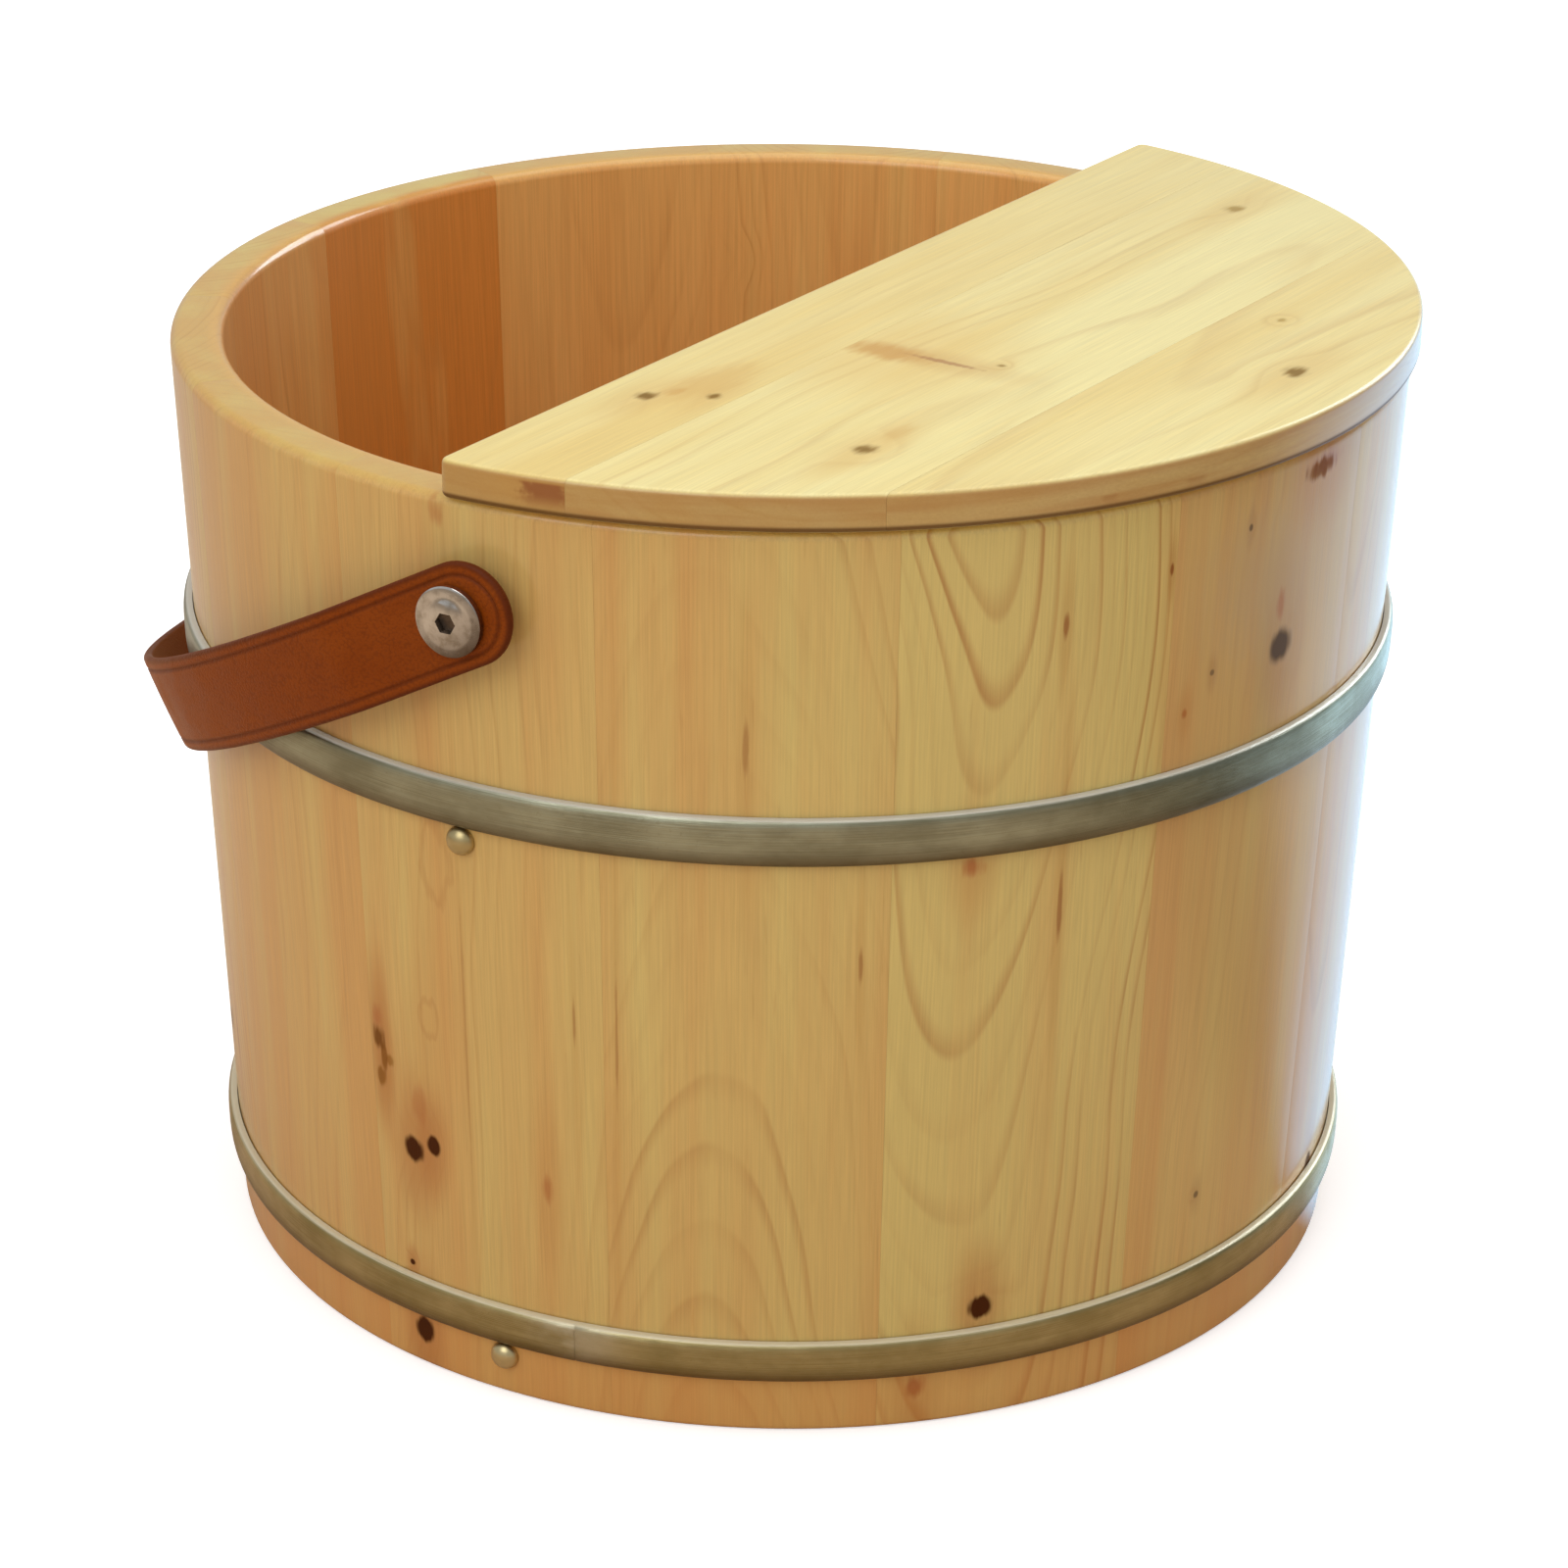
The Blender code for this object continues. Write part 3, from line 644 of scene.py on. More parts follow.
WALL_WOOD = LacqueredWood(
    pale=tint(213, 189, 115), warm=tint(208, 160, 92), late=tint(170, 112, 52), foot=0.46
)
LID_WOOD = LacqueredWood(
    pale=tint(228, 214, 150),
    warm=tint(221, 196, 122),
    late=tint(172, 114, 48),
    sides=0.7,
    coat=0.5,
    coat_roughness=0.25,
)
FLOOR_WOOD = LacqueredWood(
    pale=tint(208, 162, 86), warm=tint(196, 138, 66), late=tint(150, 92, 38), coat=0.3, coat_roughness=0.3
)


# Metal, leather and bamboo


@dataclass(frozen=True)
class Finish:
    """A finish that is one material on every piece that has it.

    Attributes:
        name: The material's name.
    """

    name: str

    def inputs(self, graph: Graph) -> dict[str, Value]:
        """Adds nodes to a tree and gives its shader's inputs, which each finish does its own way."""
        raise NotImplementedError

    @cache
    def material(self) -> bpy.types.Material:
        """Makes the one material of it.

        Returns:
            The material.
        """
        material, graph = new_material(self.name)
        principled(graph, self.inputs(graph))
        return material


@dataclass(frozen=True)
class HoopMetal(Finish):
    """Dull plated steel of the hoops and their nails.

    Attributes:
        plate: Colour of the plating.
        dull: Colour where it has gone dull.
        shade: Colour of the painted shade along its lower half.
        bright: Colour round the hoop's joint.
        wear_and_highlight: Colour of its upper edge, a painted highlight.
        joint_reach: How far from its joint a hoop is discoloured.
    """

    plate: Colour = tint(170, 172, 150)
    dull: Colour = tint(134, 132, 108)
    shade: Colour = tint(90, 74, 46)
    bright: Colour = tint(204, 202, 186)
    wear_and_highlight: Colour = tint(202, 198, 184)
    joint_reach: float = 0.022

    def inputs(self, graph: Graph) -> dict[str, Value]:
        """Adds clouds, specks, painted shade on its lower half and a painted highlight on its upper edge.

        Args:
            graph: The material's tree.

        Returns:
            The shader's inputs.
        """
        band = graph.attribute(BAND)
        _, across, from_joint = graph.split(band)
        place = graph.own_place()
        clouds = graph.noise(place, (30, 30, 60), 4, 0.6)
        drawn = graph.noise(band, (18, 22, 0), 4, 0.7)
        # Patches of dull and bright plating, which also set the roughness
        wear_and_highlight = graph.plus(graph.times(clouds, 0.6), graph.times(drawn, 0.4))
        colour = graph.blend(graph.ease(wear_and_highlight, 0.35, 0.68), self.dull, self.plate)
        specks = graph.ease(graph.noise(place, (900, 900, 900)), 0.64, 0.74, 0.0, 0.35)
        colour = graph.blend(specks, colour, self.dull)
        near = graph.ease(from_joint, 0.0, self.joint_reach, 0.55, 0.0)
        colour = graph.blend(graph.times(near, graph.ease(clouds, 0.3, 0.6)), colour, self.bright)
        # Painted shade: a hoop's lower half is darker.
        colour = graph.blend(graph.ease(across, -1.0, 0.0, 0.75, 0.0), colour, self.shade)
        # Painted highlight: the upper edge is paler and less metallic.
        edge = graph.plus(across, graph.times(graph.minus(drawn, 0.5), 0.16))
        return {
            "Base Color": graph.blend(graph.ease(edge, 0.88, 0.98), colour, self.wear_and_highlight),
            "Metallic": graph.ease(edge, 0.88, 0.98, 1.0, 0.15),
            "Roughness": graph.ease(wear_and_highlight, 0.3, 0.7, 0.44, 0.28),
            "Normal": graph.bump(graph.plus(drawn, graph.times(clouds, 1.5)), 0.00012),
        }


@dataclass(frozen=True)
class Leather(Finish):
    """Smooth brown leather with creased and darkened edges.

    Attributes:
        hide: Its main colour.
        tan: Its lighter colour.
        edge: Colour of its burnished edges and of the crease lines.
        flesh: Colour of its rough inner side.
        sheen: Colour of its sheen.
        crease: How far in from the edge the crease lies.
    """

    hide: Colour = tint(130, 57, 4)
    tan: Colour = tint(137, 63, 8)
    edge: Colour = tint(78, 30, 8)
    flesh: Colour = tint(122, 64, 30)
    sheen: Colour = tint(255, 170, 96)
    crease: float = 0.0038

    def inputs(self, graph: Graph) -> dict[str, Value]:
        """Adds pebbles and clouds, dark edges and creases, and a rough flesh side.

        Args:
            graph: The material's tree.

        Returns:
            The shader's inputs.
        """
        place = graph.attribute(HIDE)
        inset = graph.split(place)[2]
        pebbles = {"Vector": graph.scaled(place, (1150, 1300, 0)), "Scale": 1.0}
        cells = graph.add("ShaderNodeTexVoronoi", pebbles, feature="F1").outputs["Distance"]
        clouds = graph.noise(place, (55, 70, 0), 4, 0.6)
        colour = graph.blend(graph.ease(clouds, 0.32, 0.7), self.hide, self.tan)
        colour = graph.blend(graph.ease(cells, 0.45, 0.8, 0.0, 0.25), colour, self.edge)
        line = graph.math("ABSOLUTE", graph.minus(inset, self.crease))
        colour = graph.blend(graph.ease(line, 0.0002, 0.0012, 0.45, 0.0), colour, self.edge)
        distance = graph.math("ABSOLUTE", inset)
        colour = graph.blend(graph.ease(distance, 0.0004, 0.0022, 0.8, 0.0), colour, self.edge)
        inside = graph.ease(inset, -0.0012, -0.0004, 1.0, 0.0)
        rough = graph.plus(graph.ease(clouds, 0.3, 0.7, 0.44, 0.56), graph.times(inside, 0.3))
        nap = graph.noise(place, (900, 900, 0), 3, 0.7)
        return {
            "Base Color": graph.blend(inside, colour, self.flesh),
            "Roughness": rough,
            "Normal": graph.bump(graph.plus(cells, graph.times(nap, 0.6)), 0.0001, invert=True),
            "Specular IOR Level": 0.1,
            "Sheen Weight": 0.2,
            "Sheen Tint": self.sheen,
            "Sheen Roughness": 0.4,
        }


@dataclass(frozen=True)
class Steel(Finish):
    """Polished or plated steel of the screws.

    Attributes:
        bright: Its main colour.
        shade: Its duller colour.
        roughness: Its lowest roughness.
        cloudiness: How much rougher its dull places are.
        grime_and_shade: Colour of soiling and of painted shade on a screw.
    """

    bright: Colour
    shade: Colour
    roughness: float
    cloudiness: float
    grime_and_shade: Colour = tint(72, 52, 32)

    def inputs(self, graph: Graph) -> dict[str, Value]:
        """Adds clouds, scuffs, and soiling with painted shade.

        Args:
            graph: The material's tree.

        Returns:
            The shader's inputs.
        """
        place = graph.own_place()
        clouds = graph.noise(place, (240, 240, 240), 3, 0.6)
        colour = graph.blend(graph.ease(clouds, 0.4, 0.75), self.bright, self.shade)
        # Share of soiling and painted shade that the screw's mesh carries
        grime_and_shade = graph.split(graph.attribute(GRIME_AND_SHADE))[0]
        rough = graph.ease(clouds, 0.35, 0.75, self.roughness, self.roughness + self.cloudiness)
        scuffs = graph.noise(place, (2600, 2600, 2600))
        return {
            "Base Color": graph.blend(grime_and_shade, colour, self.grime_and_shade),
            "Metallic": 1.0,
            "Roughness": graph.plus(rough, graph.times(grime_and_shade, 0.2)),
            "Normal": graph.bump(scuffs, 0.000004, strength=0.15),
        }


@dataclass(frozen=True)
class Bamboo(Finish):
    """Bare bamboo of the dowels.

    Attributes:
        pale: Colour between its fibres.
        fibre: Colour of its fibres.
    """

    pale: Colour = tint(216, 192, 134)
    fibre: Colour = tint(176, 142, 86)

    def inputs(self, graph: Graph) -> dict[str, Value]:
        """Adds strands along the dowel.

        Args:
            graph: The material's tree.

        Returns:
            The shader's inputs.
        """
        strands = graph.noise(graph.own_place(), (260, 260, 1800), 3, 0.6)
        colour = graph.blend(graph.ease(strands, 0.4, 0.65), self.pale, self.fibre)
        rough = graph.ease(strands, 0.3, 0.7, 0.55, 0.7)
        return {"Base Color": colour, "Roughness": rough, "Normal": graph.bump(strands, 0.00005)}


UPPER_METAL = HoopMetal("upper_hoop_metal")
LOWER_METAL = HoopMetal(
    "lower_hoop_metal",
    plate=tint(186, 172, 128),
    dull=tint(150, 136, 90),
    shade=tint(90, 66, 32),
    wear_and_highlight=tint(214, 204, 174),
)
NAIL_METAL = HoopMetal(
    "nail_metal", plate=tint(204, 188, 142), dull=tint(166, 148, 100), bright=tint(206, 190, 148)
)
STRAP_LEATHER = Leather("strap_leather")
SPACER_LEATHER = Leather("spacer_leather")
SCREW_STEEL = Steel("screw_steel", tint(210, 207, 203), tint(172, 165, 154), roughness=0.08, cloudiness=0.12)
FIXING_ZINC = Steel("fixing_zinc", tint(190, 188, 180), tint(150, 148, 140), roughness=0.3, cloudiness=0.2)
DOWEL_BAMBOO = Bamboo("dowel_bamboo")


# Meshes


class Cut(Enum):
    """What a Boolean does with its cutter."""

    AWAY = "DIFFERENCE"
    KEEP = "INTERSECT"


class Side(Enum):
    """The two ends of the axis that the strap swings on, with the sign of X there."""

    NEAR = -1
    FAR = 1

    @property
    def label(self) -> str:
        """The word for it in names."""
        return self.name.lower()


def arc(centre: tuple[float, float], radius: float, start: float, end: float, steps: int) -> Section:
    """Lays points along an arc of a section, in equal steps.

    Args:
        centre: The arc's centre.
        radius: Its radius.
        start: Angle of its first point.
        end: Angle of its last point.
        steps: How many stretches it has.

    Returns:
        The points.
    """
    angles = [math.radians(start + (end - start) * step / steps) for step in range(steps + 1)]
    across, along = centre
    return [(across + radius * math.cos(angle), along + radius * math.sin(angle)) for angle in angles]


def polar(radius: float, angle: float, level: float) -> Vector:
    """The point at a radius, an angle and a level."""
    return Vector((radius * math.cos(math.radians(angle)), radius * math.sin(math.radians(angle)), level))


def facing(place: Vector, along: Vector) -> Matrix:
    """The frame at a place whose Z runs along a direction."""
    return Matrix.Translation(place) @ along.to_track_quat("Z", "Y").to_matrix().to_4x4()


def middle_of(node: str) -> Vector:
    """The middle of a CAD node's box."""
    low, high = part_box(node)
    return (low + high) / 2


def add_object(name: str, data: bpy.types.ID) -> bpy.types.Object:
    """Adds an object to the scene.

    Args:
        name: Its name.
        data: Its mesh, light or camera, which gets the same name.

    Returns:
        The object.
    """
    data.name = name
    item = bpy.data.objects.new(name, data)
    bpy.context.scene.collection.objects.link(item)
    return item


def finished(shape: bmesh.types.BMesh, sharp: float = 35.0) -> bpy.types.Mesh:
    """Turns a bmesh into a mesh with its faces pointing out and its round faces smooth.

    Args:
        shape: The bmesh, which is freed.
        sharp: Least angle of an edge that stays sharp.

    Returns:
        The mesh.
    """
    bmesh.ops.recalc_face_normals(shape, faces=shape.faces)
    mesh = bpy.data.meshes.new("piece")
    shape.to_mesh(mesh)
    shape.free()
    mesh.shade_smooth()
    mesh.set_sharp_from_angle(angle=math.radians(sharp))
    return mesh


def loft(rows: Sequence[Sequence[Vector]], ring: bool = False) -> bmesh.types.BMesh:
    """Skins closed sections that follow each other.

    Args:
        rows: The sections, each with the same number of points.
        ring: Whether the last section joins the first, or both ends are capped.

    Returns:
        The skinned shape.
    """
    shape = bmesh.new()
    made = [[shape.verts.new(point) for point in row] for row in rows]
    pairs = list(zip(made, made[1:]))
    if ring:
        pairs.append((made[-1], made[0]))
    for row, following in pairs:
        for index in range(len(row)):
            after = (index + 1) % len(row)
            shape.faces.new((row[index], row[after], following[after], following[index]))
    if not ring:
        shape.faces.new(made[0])
        shape.faces.new(reversed(made[-1]))
    return shape


def lathe(section: Section, steps: int) -> bmesh.types.BMesh:
    """Turns a section about Z.

    Args:
        section: Points of radius and height, which start and end on the axis or else close on themselves.
        steps: How many facets the turned shape has.

    Returns:
        The turned shape.
    """
    shape = bmesh.new()
    on_axis = section[0][0] == 0 and section[-1][0] == 0
    rings = []
    for radius, height in section:
        if radius == 0:
            rings.append([shape.verts.new((0, 0, height))] * steps)
        else:
            points = [polar(radius, 360 * step / steps, height) for step in range(steps)]
            rings.append([shape.verts.new(point) for point in points])
    pairs = list(zip(rings, rings[1:]))
    if not on_axis:
        pairs.append((rings[-1], rings[0]))
    for upper, lower in pairs:
        for step in range(steps):
            after = (step + 1) % steps
            corners = [upper[step], upper[after], lower[after], lower[step]]
            shape.faces.new(dict.fromkeys(corners))
    return shape


def carve(mesh: bpy.types.Mesh, cutters: Iterable[bpy.types.Mesh], cut: Cut) -> bpy.types.Mesh:
    """Cuts a mesh with others.

    Args:
        mesh: The mesh to cut, which is removed afterwards.
        cutters: Closed meshes in the same frame, which are removed too.
        cut: Whether what lies in them goes away or stays.

    Returns:
        The cut mesh.
    """
    block = add_object("block", mesh)
    tools = [add_object("tool", cutter) for cutter in cutters]
    for tool in tools:
        boolean = block.modifiers.new("cut", "BOOLEAN")
        boolean.operation = cut.value
        boolean.solver = "EXACT"
        boolean.object = tool
    result = bpy.data.meshes.new_from_object(block.evaluated_get(bpy.context.evaluated_depsgraph_get()))
    shape = bmesh.new()
    shape.from_mesh(result)
    bmesh.ops.remove_doubles(shape, verts=shape.verts, dist=WELD)
    for used in (block, *tools):
        bpy.data.meshes.remove(used.data)
    bpy.data.meshes.remove(result)
    return finished(shape)


def carry(mesh: bpy.types.Mesh, name: str, values: Iterable[Sequence[float]]) -> None:
    """Writes a vector to each vertex for the finishes to read.

    Args:
        mesh: The mesh.
        name: The attribute's name.
        values: The vectors, in the order of the mesh's vertices.
    """
    attribute = mesh.attributes.new(name, "FLOAT_VECTOR", "POINT")
    for item, value in zip(attribute.data, values):
        item.vector = value


def show(
    name: str, mesh: bpy.types.Mesh, material: bpy.types.Material, body: str, node: str
) -> None:
    """Puts a finished piece on its body in place of its CAD node.

    Args:
        name: The piece's name.
        mesh: Its mesh in the frame's own coordinates.
        material: Its material.
        body: The body that it rides on.
        node: The CAD node that it stands for.
    """
    mesh.materials.append(material)
    piece = add_object(name, mesh)
    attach(piece, body)
    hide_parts(node)
    log.info("%s: %d faces on %s", name, len(mesh.polygons), body)


def dress(nodes: Iterable[str], material: bpy.types.Material) -> None:
    """Gives CAD nodes that stay in view a finish.

    Args:
        nodes: The nodes' names.
        material: Their material.
    """
    for name in nodes:
        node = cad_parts[name]
        if not node.material_slots:
            node.data.materials.append(material)
        for holder in node.material_slots:
            holder.material = material
        log.info("%s: CAD node, %s", name, material.name)


# Sub-assemblies


@dataclass
class TubWall:
    """The ring of coopered staves.

    Attributes:
        rim_radius: Outer radius at the rim.
        foot_radius: Outer radius at the foot.
        thickness: Thickness of the staves.
        rim_round: Radius of the rim's rounded edges.
        foot_round: Radius of the foot's rounded edges.
        count: Number of staves.
        turned: How far round the first stave's middle lies from the screws' axis.
        seam_gap: Gap between two staves.
        seam_ease: How far the edges at a seam are eased back.
        seam_ease_width: Width of that easing.
        facets: Stretches across one stave.
        rim_steps: Stretches round an edge of the rim.
        foot_steps: Stretches round an edge of the foot.
        hole_facets: Facets of a dowel hole.
        seat_facets: Facets of an insert's hole.
        groove_depth: Depth of the groove for the bottom.
        groove_height: Height of the groove above the underside of the bottom.
        dowel_radius: Radius of the dowel holes.
        dowel_length: Length of the dowel holes.
        spot_face: Radius of the flat cut round an insert.
        foot: Level of the foot.
        rim: Level of the rim.
    """

    rim_radius: float = 0.200
    foot_radius: float = 0.187
    thickness: float = 0.017
    rim_round: float = 0.0035
    foot_round: float = 0.002
    count: int = 14
    turned: float = -1.4
    seam_gap: float = 0.00004
    seam_ease: float = 0.00003
    seam_ease_width: float = 0.0004
    facets: int = 14
    rim_steps: int = 8
    foot_steps: int = 4
    hole_facets: int = 20
    seat_facets: int = 40
    groove_depth: float = 0.005
    groove_height: float = 0.0093
    dowel_radius: float = 0.0033
    dowel_length: float = 0.0246
    spot_face: float = 0.0093
    foot: float = field(default_factory=lambda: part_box("stave_01")[0].z)
    rim: float = field(default_factory=lambda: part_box("stave_01")[1].z)

    def outer(self, level: float) -> float:
        """Radius of the outer face at a level."""
        share = (level - self.foot) / (self.rim - self.foot)
        return self.foot_radius + (self.rim_radius - self.foot_radius) * share

    def inner(self, level: float) -> float:
        """Radius of the inner face at a level."""
        return self.outer(level) - self.thickness

    def section(self, ease: float) -> Section:
        """A stave's section.

        Args:
            ease: How far its faces are set back from their full size.

        Returns:
            Points of radius and level, from the foot up the outer side and down the inner side.
        """
        rim, foot = self.rim - self.rim_round, self.foot + self.foot_round
        rim_arc, foot_arc = self.rim_round - ease, self.foot_round - ease
        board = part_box("floor_board_2")[0].z
        low, high = board - GAP, board + self.groove_height
        groove = self.inner(board) + self.groove_depth
        points = arc((self.outer(foot) - self.foot_round, foot), foot_arc, -90, 0, self.foot_steps)
        points += arc((self.outer(rim) - self.rim_round, rim), rim_arc, 0, 90, self.rim_steps)
        points += arc((self.inner(rim) + self.rim_round, rim), rim_arc, 90, 180, self.rim_steps)
        points += [(self.inner(high) + ease, high), (groove, high)]
        points += [(groove, low), (self.inner(board) + ease, low)]
        return points + arc((self.inner(foot) + self.foot_round, foot), foot_arc, 180, 270, self.foot_steps)

    def stave_mesh(self, middle: float) -> bpy.types.Mesh:
        """One stave, swept through its share of the circle, with its edges eased.

        Args:
            middle: The stave's angle round the tub.

        Returns:
            The mesh.
        """
        half = 180 / self.count - math.degrees(self.seam_gap / 2 / self.foot_radius)
        eased = half - math.degrees(self.seam_ease_width / self.foot_radius)
        turns = [-half, *(eased * (2 * step / self.facets - 1) for step in range(self.facets + 1)), half]
        rows = []
        for turned in turns:
            points = self.section(self.seam_ease if abs(turned) == half else 0.0)
            rows.append([polar(radius, middle + turned, level) for radius, level in points])
        return finished(loft(rows))

    def grain_at(self, point: Vector, middle: float) -> tuple[float, float, float]:
        """Finds grain coordinates on a stave.

        Args:
            point: The point.
            middle: The stave's angle round the tub.

        Returns:
            The distance across from the stave's middle, the depth below its outer face and the height above
            the foot.
        """
        radius = math.hypot(point.x, point.y)
        turned = (math.degrees(math.atan2(point.y, point.x)) - middle + 180) % 360 - 180
        return math.radians(turned) * radius, self.outer(point.z) - radius, point.z - self.foot

    def holes(self, number: int, middle: float) -> list[bpy.types.Mesh]:
        """Cutters for what is held in a stave: its two dowels and, on the strap's axis, an insert.

        Args:
            number: The stave's number, from 1.
            middle: Its angle round the tub.

        Returns:
            The cutters' meshes.
        """
        cutters = []
        share = 180 / self.count
        half = self.dowel_length / 2
        bore = [(0.0, half), (self.dowel_radius, half), (self.dowel_radius, -half), (0.0, -half)]
        for seam, dowel in ((share, number), (-share, (number - 2) % self.count + 1)):
            place = facing(middle_of(f"stave_dowel_{dowel:02d}"), polar(1, middle + seam + 90, 0))
            cutters.append(self.cutter(bore, self.hole_facets, place))
        for side in Side:
            if polar(1, middle, 0).x * side.value < math.cos(math.radians(share)):
                continue
            insert = f"threaded_insert_{side.label}"
            low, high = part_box(insert)
            depth = low.x - high.x - GAP
            narrow = (high.z - low.z) / 2 + GAP
            hole = [(0.0, PAST), (self.spot_face, PAST), (self.spot_face, 0.0)]
            hole += [(narrow, 0.0), (narrow, depth), (0.0, depth)]
            seat = Vector((side.value * max(-low.x, high.x), 0, middle_of(insert).z))
            place = facing(seat, Vector((side.value, 0, 0)))
            cutters.append(self.cutter(hole, self.seat_facets, place))
        return cutters

    @staticmethod
    def cutter(section: Section, steps: int, place: Matrix) -> bpy.types.Mesh:
        """Makes a turned cutter.

        Args:
            section: Its section.
            steps: How many facets it has.
            place: Where its own frame lies.

        Returns:
            The cutter's mesh.
        """
        mesh = finished(lathe(section, steps))
        mesh.transform(place)
        return mesh

    def build(self) -> None:
        """Builds and dresses the staves, and dresses the dowels between them."""
        for number in range(1, self.count + 1):
            middle = 180 + self.turned + (number - 1) * 360 / self.count
            name = f"wall_stave_{number:02d}"
            mesh = carve(self.stave_mesh(middle), self.holes(number, middle), Cut.AWAY)
            carry(mesh, GRAIN, (self.grain_at(vertex.co, middle) for vertex in mesh.vertices))
            timber = STAVE_TIMBER.get(number) or grown_stave(number)
            material = WALL_WOOD.material(name, timber, (0, 0, 1), carried_grain)
            show(name, mesh, material, "tub", f"stave_{number:02d}")
        dowels = [f"stave_dowel_{number:02d}" for number in range(1, self.count + 1)]
        dress(dowels, DOWEL_BAMBOO.material())


HEARTWOOD = {10: 0.42, 11: 1.6, 12: 0.6}  # share of the heart's colour inside single staves
USUAL_HEARTWOOD = 0.36  # the same inside the other staves of the far side


def grown_stave(number: int) -> Timber:
    """Timber of a stave on the far side, drawn from its number.

    Args:
        number: The stave's number.

    Returns:
        Its timber.
    """
    draw = random.Random(number)
    marks = []
    for _ in range(draw.randint(0, 3)):
        kind = draw.choice((MarkKind.DEAD_KNOT, MarkKind.GREY_KNOT, MarkKind.RESIN, MarkKind.RED_STAIN))
        radius = draw.uniform(0.0012, 0.0042)
        stretch = draw.uniform(8, 20) if kind is MarkKind.RESIN else draw.uniform(1.0, 1.5)
        radius = 0.0008 if kind is MarkKind.RESIN else radius
        across, along = draw.uniform(-0.034, 0.034), draw.uniform(0.02, 0.28)
        marks.append(Mark(kind, across, along, radius, stretch, strength=0.85))
    return Timber(
        seed=number,
        pith_across=draw.uniform(-0.05, 0.05),
        pith_depth=draw.uniform(0.02, 0.07),
        lean=draw.choice((-1, 1)) * draw.uniform(0.03, 0.12),
        pitch=draw.uniform(0.0028, 0.0042),
        contrast=draw.uniform(0.3, 0.6),
        warmth=draw.uniform(0.25, 0.75),
        heartwood=HEARTWOOD.get(number, USUAL_HEARTWOOD),
        marks=tuple(marks),
    )


